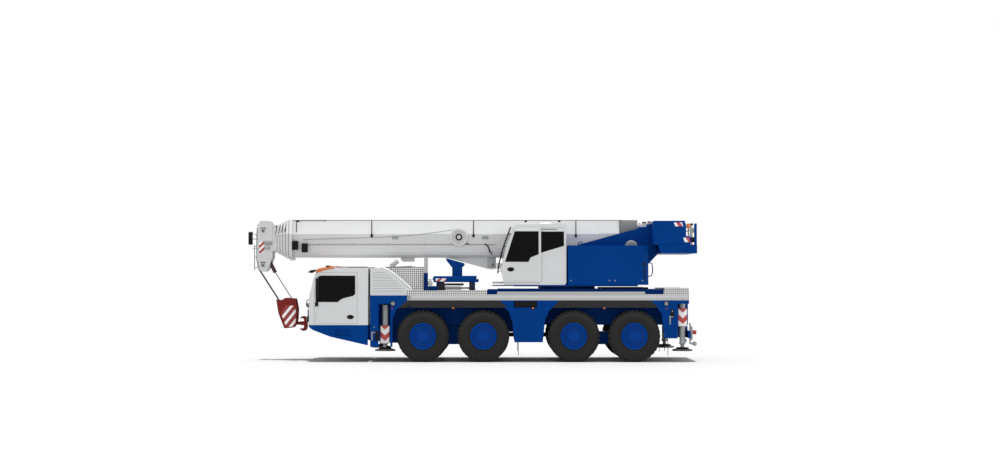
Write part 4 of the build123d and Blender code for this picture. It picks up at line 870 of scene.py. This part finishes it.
lamps_black = []
for x, z in BOOM_LAMPS:
    lamps_black.append(block((x, -0.52, z), (x + 0.165, -0.415, z + 0.255), bevel=0.012, segments=3))
    lamps_black += [block((x + 0.01, -0.527, z + 0.02 + 0.056 * k),
                          (x + 0.155, -0.515, z + 0.06 + 0.056 * k), bevel=0.004) for k in range(4)]
    lamps_black.append(bar((x + 0.08, -0.44, z + 0.12), (x + 0.08, BOOM_SIDE + 0.02, z + 0.12), 0.025))
piece("boom_side_lamps", lamps_black, "boom_base", black_plastic, "cab_trim")

conduit = [tube([(-4.6, -0.408, CONDUIT_Z), (0.7, -0.408, CONDUIT_Z)], 0.011)]
conduit += [block((x, -0.424, CONDUIT_Z - 0.02), (x + 0.03, -0.398, CONDUIT_Z + 0.02),
                  bevel=0.004) for x in (-4.3, -3.3, -2.3, -1.3, -0.6, 0.4)]
conduit.append(tube([(REEL[0] - 0.1, -0.408, REEL[1] + 0.215), (-1.4, -0.408, 3.52), (-3.0, -0.408, 3.43),
                     (-4.7, -0.408, 3.4)], 0.008, smooth=True))
piece("boom_conduit", conduit, "boom_base", grey_paint, "boom_grey")
hose = [tube([(0.4, -0.42, 3.262), (0.47, -0.425, 3.25), (0.52, -0.425, 3.15), (0.55, -0.42, 3.02),
              (0.62, -0.41, 2.98)], 0.016, smooth=True)]
hose += [bar((-0.16, -0.41, 3.28), (-0.02, -0.41, 3.262), 0.014)]
piece("boom_hose", hose, "boom_base", black_plastic, "cab_trim")

reel = [lathe([(0.055, 0.0), (0.09, 0.0), (0.095, 0.012), (0.06, 0.016)], (REEL[0], -0.458, REEL[1]),
              axis=OUTWARD, steps=40)]
piece("reel_hub_ring", reel, "boom_base", black_plastic, "cab_trim")
reel = [lathe([(0.192, 0.0), (0.25, 0.0), (0.255, 0.006), (0.25, 0.012), (0.2, 0.014)],
              (REEL[0], -0.446, REEL[1]), axis=OUTWARD, steps=48)]
spoke = block((REEL[0] + 0.07, -0.44, REEL[1] - 0.012), (REEL[0] + 0.2, -0.428, REEL[1] + 0.012),
              bevel=0.004)
reel += around(spoke, (REEL[0], 0, REEL[1]), "Y", 6)
piece("reel_spokes", reel, "boom_base", boom_paint, "boom_grey")

rear_cover = [block((4.19, -0.4145, 3.53), (4.7, -0.34, 3.942), bevel=0.012),
              block((4.19, 0.34, 3.53), (4.7, 0.4145, 3.942), bevel=0.012)]
rear_cover.append(block((4.19, -0.36, 3.9), (4.7, 0.36, 3.943), bevel=0.012))
piece("boom_rear_cover", rear_cover, "boom_base", cover_grey, "boom_grey")
plates = [block((x, -0.408, 3.4), (x + 0.18, -0.398, 3.5), bevel=0.003) for x in (-2.2, 0.33)]
piece("boom_plates", plates, "boom_base", grey_paint, "boom_grey")

# %% [markdown]
# The boom's head has bolted sheave pins, a small striped board, a black wind gauge and a thin guard rod
# in front. The pins' caps could be plain discs. Spun from a section with a chamfer, they catch a line of
# light.

# %% Boom head
HEAD_SIDE = -0.2535
HEAD_PINS = ((-5.85, 3.646), (-5.85, 2.674))

caps = []
for x, z in HEAD_PINS:
    cap = lathe([(0.0, 0.016), (0.036, 0.016), (0.044, 0.01), (0.044, -0.01), (0.0, -0.01)],
                (x, HEAD_SIDE - 0.0245, z), axis=OUTWARD, steps=28)
    keeper = block((x - 0.07, HEAD_SIDE - 0.012, z + 0.055), (x + 0.07, HEAD_SIDE + 0.002, z + 0.09),
                   bevel=0.004)
    caps += [cap, keeper]
    caps += [bar((x + dx, HEAD_SIDE - 0.02, z + 0.0725), (x + dx, HEAD_SIDE + 0.002, z + 0.0725), 0.01,
                 sides=6) for dx in (-0.05, 0.05)]
pair("head_pin_caps", caps, "boom_section_5", dull_steel, "rope_steel")

board = outline([(-5.965, 3.02), (-5.86, 3.02), (-5.8, 3.16), (-5.83, 3.36), (-5.965, 3.3)],
                HEAD_SIDE - 0.006, HEAD_SIDE + 0.001, bevel=0.0015)
head_stripes = striped("head_board_stripes", "#E6E4E2", "#9C2F2A", (-5.9, 3.2), 0.9, 0.17, 0.5)
pair("head_board", [board], "boom_section_5", head_stripes, "boom_grey")

plates = [block((-5.82, HEAD_SIDE - 0.03, 3.24), (-5.6, HEAD_SIDE + 0.002, 3.36), bevel=0.008),
          block((-5.78, HEAD_SIDE - 0.045, 3.12), (-5.66, HEAD_SIDE + 0.002, 3.19), bevel=0.008)]
plates += [bar((x, HEAD_SIDE - 0.05, z), (x, HEAD_SIDE, z), 0.014, sides=6) for x in (-5.76,
                                                                                      -5.66) for z in (3.27,
                                                                                                       3.33)]
pair("head_brackets", plates, "boom_section_5", grey_paint, "boom_grey")

guard = [tube([(-6.09, -0.24, 3.24), (-6.09, -0.24, 2.53)], 0.011)]
guard += [tube([(-5.98, -0.215, z), (-6.09, -0.24, z)], 0.009) for z in (3.2, 2.9, 2.6)]
guard.append(tube([(-6.02, -0.22, 3.5), (-6.1, -0.235, 3.56), (-6.2, -0.24, 3.57), (-6.23, -0.24, 3.54)],
                  0.008, smooth=True))
gauge = lathe([(0.0, 0.0), (0.05, 0.0), (0.0625, 0.02), (0.0625, 0.36), (0.05, 0.38), (0.0, 0.381)],
              (-6.207, -0.239, 3.2405), axis=UPWARD, steps=28)
piece("wind_gauge_shell", [gauge], "boom_section_5", black_plastic, "cab_trim")
piece("head_guard_rods", guard, "boom_section_5", dull_steel, "rope_steel")

# %% [markdown]
# Each boom section ends in a collar, with a dark tube along its shoulder and two black blocks on top. The
# tube is painted shade for the shadowed gap between the sections. The six sets are alike and step inward, so
# a loop makes them, and each rides on its own section as the boom runs out.

# %% Section collars
COLLARS = 6
COLLAR_STEP = 0.087
for k in range(COLLARS):
    body = "boom_base" if k == 0 else f"boom_section_{k}"
    x = boom_low.x + 0.043 - COLLAR_STEP * k
    top = 3.937 - 0.03 * k
    # The tube along the shoulder is painted shade for the shadowed gap between the sections.
    gap_shade_and_blocks = [tube([(x + 0.03, -0.29, top - 0.02), (x + 0.02, -0.36, top - 0.16),
                   (x - 0.01, -0.385, top - 0.26)], 0.011)]
    gap_shade_and_blocks.append(block((x - 0.03, -0.2, top - 0.03), (x + 0.02, -0.12, top + 0.008), bevel=0.008))
    gap_shade_and_blocks.append(block((x - 0.03, 0.12, top - 0.03), (x + 0.02, 0.2, top + 0.008), bevel=0.008))
    piece(f"collar_gap_shade_and_blocks_{k}", gap_shade_and_blocks, body, black_plastic, "cab_trim")

# %% [markdown]
# The hook block is a red casting with white bars on both cheeks. The bars are a thin painted panel of
# their own, so that the casting's edges stay plain red. The hook below it is a double one, drawn as its
# side outline and pulled out to a rounded slab. A swept hook would be rounder, but its outline is what
# shows from the side. The rope's dead end is held in a red wedge socket.

# %% Hook block
hook_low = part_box("hook_block")[0]
HOOK_PANEL = [(-5.337, 1.308), (-5.21, 1.534), (-4.95, 1.534), (-4.92, 1.294), (-4.937, 1.03),
              (-5.012, 0.94), (-5.195, 0.93)]
DEAD_LINE = ((-5.6925, 2.764), (-5.5395, 2.467))

panel = outline(HOOK_PANEL, hook_low.y - 0.004, hook_low.y + 0.001, bevel=0.0015)
hook_stripes = striped("hook_bars", "#8E2620", "#F0EEEC", (-5.0, 1.25), 1.25, 0.27, 0.42)
pair("hook_bars", [panel], "hook", hook_stripes, "hook_red")
RAMSHORN = [(-4.842, 1.1545), (-4.796, 1.2179), (-4.72, 1.2356), (-4.644, 1.2052), (-4.616, 1.129),
            (-4.612, 1.0278), (-4.616, 0.901),
            (-4.649, 0.8301), (-4.733, 0.809), (-4.796, 0.8377), (-4.847, 0.896), (-4.771, 0.8808),
            (-4.715, 0.9137), (-4.72, 0.9771),
            (-4.771, 1.0024), (-4.898, 1.0024), (-4.898, 1.0531), (-4.771, 1.0531), (-4.715, 1.0835),
            (-4.715, 1.1418), (-4.758, 1.1799)]
piece("ramshorn_forging", [outline(RAMSHORN, -0.05, 0.05, bevel=0.012)], "hook", hook_red, "hook_red")
socket = [bar((DEAD_LINE[0][0], 0.0, DEAD_LINE[0][1]), (DEAD_LINE[1][0], 0.0, DEAD_LINE[1][1]), 0.0529,
              sides=20)]
piece("dead_end_socket", socket, "hook", hook_red, "hook_red")

# %% [markdown]
# The crane cab has a sliding door with a flush handle, rubber round the panes, a guard of thin bars
# before the screen and a vent on the roof. The guard could be a wire-frame of a plane. Separate tubes
# keep the real one's curve and its thicker side bars.

# %% Crane cab
OPS_SIDE = -1.25
OPS_DOOR_WINDOW = [(0.9855, 2.765), (1.6105, 2.765), (1.6705, 2.885), (1.8905, 2.975), (1.8905, 3.588),
                   (1.2497, 3.588)]
OPS_REAR_WINDOW = [(1.9725, 3.013), (2.5935, 3.202), (2.5935, 3.588), (1.9725, 3.588)]
OPS_WALL = -1.205
OPS_HANDLE = (1.1305, 2.55)

piece("crane_door_handle", oval_handle(OPS_HANDLE[0], OPS_SIDE, OPS_HANDLE[1]), "crane_cab_door",
      black_plastic, "cab_trim")
piece("crane_door_seal", [seal_ring(OPS_DOOR_WINDOW, 0, 0, OPS_SIDE)], "crane_cab_door", black_plastic,
      "cab_trim")
piece("crane_door_brow",
      [outline([(1.243, 3.592), (1.898, 3.592), (1.898, 3.663), (1.266, 3.663)], OPS_SIDE - 0.005,
               OPS_SIDE + 0.006, bevel=0.002)],
      "crane_cab_door", white, "cab_white")
piece("crane_rear_brow",
      [outline([(1.965, 3.592), (2.602, 3.592), (2.602, 3.655), (1.965, 3.655)], OPS_WALL - 0.006,
               OPS_WALL + 0.006, bevel=0.002)],
      "superstructure", white, "cab_white")
trims = [seal_ring(OPS_REAR_WINDOW, 0, 0, OPS_WALL + SEAL * 0.7)]
trims.append(tube([(1.985, OPS_WALL + 0.005, 3.647), (2.0, OPS_WALL + 0.002, 3.652),
                   (2.37, OPS_WALL + 0.002, 3.652), (2.41, OPS_WALL + 0.005, 3.647)], 0.012))
GUARD_LINE = [(1.13, 3.72), (0.93, 3.2), (0.835, 2.82), (0.785, 2.6), (0.775, 2.44)]
for y in (-1.15, -0.56):
    trims.append(tube([(x, y, z) for x, z in GUARD_LINE], 0.018, smooth=True))
for x, z in ((1.06, 3.53), (0.93, 3.18), (0.845, 2.86), (0.785, 2.5)):
    trims.append(tube([(x, -1.15, z), (x, -0.56, z)], 0.009))
    for y in (-1.12, -0.59):
        trims.append(tube([(x, y, z), (x + 0.11, y, z + 0.01)], 0.008))
piece("crane_cab_trim", trims, "superstructure", black_plastic, "cab_trim")
vent = lathe([(0.0, 0.05), (0.1, 0.047), (0.17, 0.03), (0.19, 0.0), (0.19, -0.02), (0.0, -0.02)],
             (2.1, -0.83, 3.808), axis=UPWARD, steps=40)
hatch = block((1.38, -1.1, 3.795), (1.8, -0.56, 3.82), bevel=0.01)
piece("crane_cab_roof_vent", [vent, hatch], "superstructure", white, "cab_white")
steps = [block((0.62, -0.95, 2.155), (0.95, -0.55, 2.21), bevel=0.006)]
piece("crane_cab_step", steps, "superstructure", studs, "deck_aluminium")

# %% [markdown]
# The machinery house has a long slot for its latch, a round lock, screws along the lower edge, a lifting
# ring, and a grab rail at the rear corner. Its panels are plain, so these small pieces give the eye its
# size.

# %% Machinery house
HOUSE_SIDE = -1.25
SCREWS = (2.79, 3.85, 4.007, 4.76)

latches = [block((4.8, HOUSE_SIDE - 0.006, 2.26), (4.828, HOUSE_SIDE + 0.002, 2.585), bevel=0.004)]
latches.append(lathe([(0.0, 0.012), (0.03, 0.012), (0.042, 0.004), (0.042, -0.004), (0.0, -0.004)],
                     (4.79, HOUSE_SIDE, 2.696), axis=OUTWARD, steps=28))
piece("house_latches", latches, "superstructure", black_plastic, "cab_trim")
screw = [bar((x, HOUSE_SIDE - 0.006, 2.24), (x, HOUSE_SIDE + 0.004, 2.24), 0.014, sides=6,
             chamfer=0.3) for x in SCREWS]
screw += [bar((x, HOUSE_SIDE - 0.003, 2.24), (x, HOUSE_SIDE + 0.004, 2.24), 0.02, sides=16,
              chamfer=0.1) for x in SCREWS]
pair("house_screws", screw, "superstructure", steel, "rope_steel")
rails = [tube([(4.93, -1.02, 2.74), (5.04, -1.02, 2.72), (5.06, -1.02, 2.6), (5.06, -1.02, 2.48),
               (5.03, -1.02, 2.38), (4.93, -1.02, 2.35)], 0.015)]
ring = tube([(3.09 + 0.055 * cos(t * pi / 8), -0.6, 3.265 + 0.055 * sin(t * pi / 8)) for t in range(16)],
            0.014, ring=True)
rails += [ring, block((3.05, -0.64, 3.205), (3.13, -0.575, 3.225), bevel=0.006)]
pair("house_rails", rails, "superstructure", blue, "body_blue")
cover = lathe([(0.0, 0.02), (0.1, 0.02), (0.16, 0.014), (0.177, 0.0), (0.177, -0.02), (0.0, -0.02)],
              (4.515, -0.58, 3.19), axis=OUTWARD, steps=40)
piece("pivot_cover", [cover], "superstructure", cover_grey, "boom_grey")

# %% [markdown]
# The tail has striped boards on its wings, amber lamps on posts, and the hoist rope wound on its drum.
# The rope could be one long helix. Rings side by side look the same and close cleanly.

# %% Tail
TAIL_SIDE = -1.22
DRUM = (5.5105, 3.511)
WRAPS = 26
WRAP_RADIUS = 0.202
ROPE = 0.015
WRAP_SPAN = 0.4

tail_stripes = striped("tail_board_stripes", "#EDEBE9", "#B2382F", (5.72, 3.79), -1.6, 0.42, 0.45)
boards = [outline([(5.67, 3.735), (5.89, 3.735), (5.85, 3.84), (5.63, 3.84)], TAIL_SIDE - 0.005,
                  TAIL_SIDE + 0.001, bevel=0.001),
          outline([(5.93, 3.3), (6.085, 3.3), (6.045, 3.42), (5.886, 3.42)], TAIL_SIDE - 0.005,
                  TAIL_SIDE + 0.001, bevel=0.001)]
pair("tail_boards", boards, "superstructure", tail_stripes, "body_blue")
lamp = lathe([(0.0, 0.13), (0.04, 0.125), (0.056, 0.1), (0.06, 0.0), (0.0, 0.0)], (6.045, -1.12, 3.69),
             axis=UPWARD, steps=28)
pair("tail_beacons", [lamp], "superstructure", orange_lens, "lamp_plastic")
blues = [block((6.2, -1.2, 3.22), (6.267, -1.1, 3.818), bevel=0.008),
         block((5.87, -1.2205, 3.222), (6.1, -1.1, 3.46), bevel=0.008)]
pair("tail_end_posts", blues, "superstructure", blue, "body_blue")
boxes = [block((6.11, -1.19, 3.3), (6.2, -1.1, 3.44), bevel=0.01),
         block((6.09, -1.16, 3.76), (6.17, -1.08, 3.82), bevel=0.01)]
pair("tail_boxes", boxes, "superstructure", black_plastic, "cab_trim")
posts = [bar((6.045, -1.12, 3.225), (6.045, -1.12, 3.7), 0.022),
         block((5.99, -1.18, 3.45), (6.1, -1.06, 3.475), bevel=0.006)]
posts += [block((6.09, -1.17, 3.47), (6.14, -1.09, 3.77), bevel=0.008),
          block((6.14, -1.17, 3.56), (6.2, -1.09, 3.7), bevel=0.008)]
posts += [tube([(6.16, -0.95, 3.22), (6.16, -0.95, 3.6), (6.16, -0.9, 3.65), (6.16, 0.0, 3.65)], 0.018)]
posts += [block((6.12, -0.98, 3.22), (6.2, -0.92, 3.24), bevel=0.006)]
pair("tail_posts", posts, "superstructure", grey_paint, "boom_grey")
turns = []
for k in range(WRAPS):
    y = -WRAP_SPAN + 2 * WRAP_SPAN * (k + 0.5) / WRAPS
    ring = [(WRAP_RADIUS + ROPE * cos(a * pi / 3), ROPE * sin(a * pi / 3)) for a in range(6)]
    turns.append(lathe(ring, (DRUM[0], y, DRUM[1]), steps=32))
piece("hoist_rope_turns", turns, "superstructure", rope_wire, "rope_steel", 60)

# %% [markdown]
# Blue rails and dark mats lie on the deck, and a plain light band covers its edge. The band could be
# painted on the deck's own edge, but that one carries the stud pattern, so a thin plate goes over it.

# %% Deck
DECK_FACE = -1.2725

rails = [block((0.477, DECK_FACE - 0.003, 1.86), (0.761, -1.12, 1.99), bevel=0.006),
         block((0.761, DECK_FACE - 0.002, 1.935), (4.83, -1.2, 2.008), bevel=0.006),
         block((4.826, DECK_FACE - 0.003, 1.865), (5.338, -1.1, 1.997), bevel=0.006)]
pair("deck_rails", rails, "carrier", dark_blue, "body_blue")
plates = [block((0.761, DECK_FACE, 1.852), (4.826, -1.266, 1.936), bevel=0.002)]
bands = [block((-1.62, -1.2835, 1.702), (6.02, -1.27, 1.826), bevel=0.003)]
pair("deck_edge_plates", plates, "carrier", barrel_grey, "deck_aluminium")
pair("deck_edge_bands", bands, "carrier", deck_light, "deck_aluminium")
mats = [block((3.66, -0.92, 1.962), (4.95, -0.45, 2.055), bevel=0.012)]
pair("deck_mats", mats, "carrier", black_plastic, "cab_trim")

# %% [markdown]
# The fenders end in slanted cuts, where a dark tip or a blue panel closes the gap to the skirt. The cuts
# could be made in the solids. Thin panels laid over the skirts give the same slanted lines.

# %% Fender ends
SKIRT = -1.276
FENDER_TIP = [(-1.721, 1.695), (-1.95, 1.4915), (-1.7, 1.4915)]
UPPER_PANELS = ([(0.8242, 1.694), (1.17, 1.694), (1.17, 1.5), (1.0558, 1.5)],
                [(4.983, 1.694), (5.26, 1.694), (5.26, 1.4965), (5.195, 1.4965)],
                [(2.07, 1.694), (2.47, 1.694), (2.27, 1.493), (2.07, 1.493)])
LOWER_PANELS = ([(2.07, 1.496), (2.275, 1.496), (2.17, 1.4), (2.115, 1.22), (2.07, 1.22)],
                [(0.945, 1.504), (1.17, 1.504), (1.17, 1.16), (1.149, 1.16), (1.0853, 1.381)],
                [(5.159, 1.5), (5.3, 1.5), (5.31, 1.25), (5.286, 1.3186)])


def skirt_panel(points, proud):
    return outline(points, SKIRT - proud, SKIRT + 0.006, bevel=0.002)


pair("fender_tips", [skirt_panel(FENDER_TIP, 0.004)], "carrier", plastic, "fender_grey")
blue_wedges = [skirt_panel(points, 0.004) for points in UPPER_PANELS]
blue_wedges += [skirt_panel(points, 0.003) for points in LOWER_PANELS]
pair("fender_end_panels", blue_wedges, "carrier", blue, "body_blue")

# %% [markdown]
# Black panels fill each recess in the skirts, with steel handles beside them. The panels are painted shade:
# they darken the inside of each recess. They could be holes with a dark inside. Panels a few millimetres
# thick look the same and leave the solids whole. Those beside the outriggers are on the operator's side only,
# because the beams of the other side slide out there.

# %% Skirt panels and fittings
# Both black plates are painted shade inside their recesses.
stowage_shade_panels = [block((-2.6, SKIRT - 0.003, 0.58), (-2.5, SKIRT + 0.004, 0.86), bevel=0.003),
           block((5.52, SKIRT - 0.003, 1.2), (5.62, SKIRT + 0.004, 1.444), bevel=0.003)]
piece("stowage_recess_shade", stowage_shade_panels, "carrier", black_plastic, "cab_trim")
# The black block is painted shade inside its recess; the thin black rods below are real rods.
recess_shade_and_rods = [block((1.225, -1.226, 1.494), (1.86, -1.212, 1.667), bevel=0.004)]
recess_shade_and_rods += [bar((1.34, -1.2, 0.186), (1.34, -1.2, 0.56), 0.009, sides=10),
             bar((5.372, -1.1, 0.302), (5.372, -1.1, 0.7), 0.009, sides=10),
             bar((5.466, -1.1, 0.17), (5.466, -1.1, 0.7), 0.009, sides=10)]
pair("skirt_recess_shade_and_rods", recess_shade_and_rods, "carrier", black_plastic, "cab_trim")
fittings = []
for x0, z0 in ((-2.7, 0.6), (5.49, 1.03)):
    fittings += [block((x0, SKIRT - 0.012, z0), (x0 + 0.04, SKIRT, z0 + 0.24), bevel=0.006),
                 block((x0 + 0.03, SKIRT - 0.012, z0 + 0.2), (x0 + 0.11, SKIRT, z0 + 0.23), bevel=0.006),
                 bar((x0 + 0.08, SKIRT - 0.016, z0 + 0.36), (x0 + 0.08, SKIRT, z0 + 0.36), 0.014, sides=16)]
piece("skirt_fittings", fittings, "carrier", steel, "jack_steel")

# %% [markdown]
# Pressed ribs run across the engine cowl's side, each as long as the sloping front lets it be, and a white
# lip follows that slope. The bars are painted grey: painted shade for the dark lines along the pressing. A
# displaced texture could raise the ribs, but real bars keep their ends square.

# %% Engine cowl
RIBS = 8
RIB_PITCH = 0.074
RIB_FOOT = 1.94
SHORT_RIB_END = -1.83
COWL_SLOPE = [(-2.4555, 2.586), (-2.3295, 2.548), (-2.1395, 2.433), (-1.9275, 2.263), (-1.7185, 2.073),
              (-1.6305, 1.985)]

ribs = []
for k in range(RIBS):
    z = RIB_FOOT + RIB_PITCH * k
    end = SHORT_RIB_END
    for (xa, za), (xb, zb) in zip(COWL_SLOPE, COWL_SLOPE[1:]):
        if zb <= z + 0.016 <= za:
            end = xa + (xb - xa) * (za - z - 0.016) / (za - zb) - 0.112
    # The grey of these bars is painted shade along the pressed ribs.
    ribs.append(block((-2.669, -1.2515, z + 0.002), (end, -1.2405, z + 0.014), bevel=0.003))
pair("cowl_ribs_painted_shade", ribs, "carrier", barrel_grey, "cab_white")
lip = [(x + 0.02, -1.2, z + 0.02) for x, z in COWL_SLOPE] + [(-1.625, -1.2, 1.92), (-1.66, -1.2, 1.845)]
pair("cowl_lips", [tube(lip, 0.032, smooth=True)], "carrier", white, "cab_white")
grates = [bar((-2.46, -1.0, 2.6), (-1.62, -1.0, 2.634), 0.013),
          bar((-2.46, -0.6, 2.6), (-1.62, -0.6, 2.634), 0.013)]
pair("cowl_rails", grates, "carrier", dark_grey, "jack_steel")

# %% [markdown]
# Under the deck, blue gear cases stand between the paired axles, and walls close the rear corners. They
# only show between the wheels, so blocks with broad bevels are enough.

# %% Under the deck
cases = [block((-0.75, -0.36, 0.45), (-0.15, 0.36, 1.12), bevel=0.04, segments=3),
         block((3.4, -0.36, 0.45), (4.0, 0.36, 0.8), bevel=0.04, segments=3),
         block((0.95, -0.44, 0.8), (1.35, 0.44, 1.1), bevel=0.02),
         block((-2.2, -0.44, 0.5), (-1.72, 0.44, 1.1), bevel=0.02)]
piece("gear_cases", cases, "carrier", frame_blue_lit, "body_blue")
pair("rear_corner_walls", [block((5.7, -0.87, 1.02), (6.055, -0.85, 1.69), bevel=0.006)], "carrier", blue,
     "body_blue")

# %% [markdown]
# The boom rest's table has deep blue sides on a dark pedestal, with a small cylinder, a striped marker,
# and a post and valve beside it. The table's side could be cut from a box. Drawn as points and pulled
# out, it gets its notch at once.

# %% Boom rest
table = outline([(-1.02, 2.366), (0.165, 2.366), (0.165, 2.31), (0.12, 2.295), (0.12, 2.27), (0.02, 2.206),
                 (-0.95, 2.206), (-1.0667, 2.27)], -0.46, -0.44, bevel=0.004)
pair("rest_table_sides", [table], "carrier", blue, "body_blue")
pedestal = [outline([(-0.95, 1.966), (-0.9, 2.19), (-0.76, 2.2), (-0.72, 1.966)], -0.42, 0.42, bevel=0.008),
            block((-0.03, -0.42, 1.962), (0.1, 0.42, 2.21), bevel=0.01)]
pedestal.append(block((-0.72, -0.38, 2.1), (-0.2, 0.38, 2.16), bevel=0.01))
piece("rest_pedestal", pedestal, "carrier", casting, "body_blue")
piece("rest_cylinder",
      [bar((-0.72, -0.3, 2.03), (-0.25, -0.3, 2.03), 0.045),
       bar((-0.3, -0.3, 2.03), (-0.03, -0.3, 2.03), 0.025)], "carrier", barrel_grey, "jack_steel")
marker = outline([(-0.96, 2.215), (-0.7, 2.215), (-0.66, 2.3), (-0.98, 2.3)], -0.466, -0.459, bevel=0.001)
marker_stripes = striped("rest_marker_stripes", "#E9E7E5", "#B2382F", (-0.82, 2.26), 1.0, 0.2, 0.45)
pair("rest_markers", [marker], "carrier", marker_stripes, "body_blue")
bracket = [block((-1.27, -1.16, 1.962), (-1.155, -1.04, 2.45), bevel=0.01),
           block((-1.15, -1.15, 1.962), (-0.89, -0.95, 2.09), bevel=0.012)]
piece("post_bracket", bracket, "carrier", dark_blue, "body_blue")
valve = [block((-1.15, -1.14, 2.1), (-1.03, -1.02, 2.24), bevel=0.02),
         bar((-1.09, -1.08, 2.2), (-1.09, -1.08, 2.29), 0.03)]
piece("deck_valve", valve, "carrier", barrel_grey, "jack_steel")

# %% [markdown]
# Covers, lids, rope guides and thin rods finish the boom's fin, the winch, the tail and the head. Each is
# a small block or bar with a soft edge, which is all that shows of them from a few metres.

# %% Covers, guides and rods
fin_covers = [block((0.478, -0.1455, 2.58), (0.716, -0.138, 2.95), bevel=0.003)]
pair("fin_covers", fin_covers, "boom_base", barrel_grey, "boom_grey")
fin_bolts = [bar((0.635, -0.155, z), (0.635, -0.142, z), 0.022, sides=6) for z in (2.65, 2.7)]
pair("fin_bolts", fin_bolts, "boom_base", black_plastic, "cab_trim")
heads = [block((4.72, -0.521, 3.686), (5.08, -0.461, 3.745), bevel=0.01),
         block((4.95, -0.521, 3.74), (5.08, -0.461, 3.82), bevel=0.01)]
pair("winch_brackets", heads, "superstructure", blue, "body_blue")
lids = [block((5.08, -1.2, 3.84), (5.95, -0.46, 3.893), bevel=0.02)]
pair("tail_lids", lids, "superstructure", blue, "body_blue")
guides = [block((4.76, -0.515, 3.74), (4.95, -0.467, 3.85), bevel=0.015),
          block((4.97, -0.515, 3.81), (5.07, -0.467, 3.9), bevel=0.015)]
pair("rope_guides", guides, "superstructure", boom_paint, "boom_grey")
rollers = [bar((4.82, -0.517, 3.87), (4.94, -0.517, 3.87), 0.018),
           bar((4.98, -0.517, 3.885), (5.06, -0.517, 3.885), 0.018)]
pair("rope_rollers", rollers, "superstructure", black_plastic, "cab_trim")

edge = [tube([(-6.016, HEAD_SIDE, 3.72), (-6.028, HEAD_SIDE, 3.53), (-6.028, HEAD_SIDE, 2.83),
              (-5.975, HEAD_SIDE, 2.6)], 0.012)]
pair("head_edges", edge, "boom_section_5", dark_grey, "boom_grey")
gauge_rod = [bar((-6.147, -0.25, 3.158), (-5.95, -0.25, 3.158), 0.014),
             bar((-6.1, -0.25, 3.12), (-6.1, -0.25, 3.2), 0.011)]
piece("gauge_rod", gauge_rod, "boom_section_5", steel, "jack_steel")
rod = [bar((-5.02, -0.3, 3.9405), (-4.083, -0.3, 3.9405), 0.007),
       bar((-4.12, -0.3, 3.937), (-4.075, -0.3, 3.937), 0.0125)]
piece("boom_top_rod", rod, "boom_base", black_plastic, "cab_trim")

# %% [markdown]
# The rear lamps hang in grey frames with a round buffer below. A frame could be one bent strip. Three
# blocks and a bar read the same from the side.

# %% Rear lamp frames
rear_frame = [block((6.06, -1.145, 0.49), (6.1, -1.05, 1.07), bevel=0.01),
              block((6.1, -1.145, 0.6), (6.15, -1.05, 0.98), bevel=0.015),
              bar((6.205, -1.14, 0.5), (6.205, -1.0, 0.5), 0.06, sides=24),
              block((6.09, -1.12, 0.48), (6.17, -1.02, 0.52), bevel=0.006)]
pair("rear_lamp_frames", rear_frame, "carrier", grey_paint, "jack_steel")
pair("rear_round_lamps", [block((6.148, -1.13, 0.755), (6.255, -1.03, 0.87), bevel=0.02, segments=3)],
     "carrier", red_lens, "lamp_plastic")
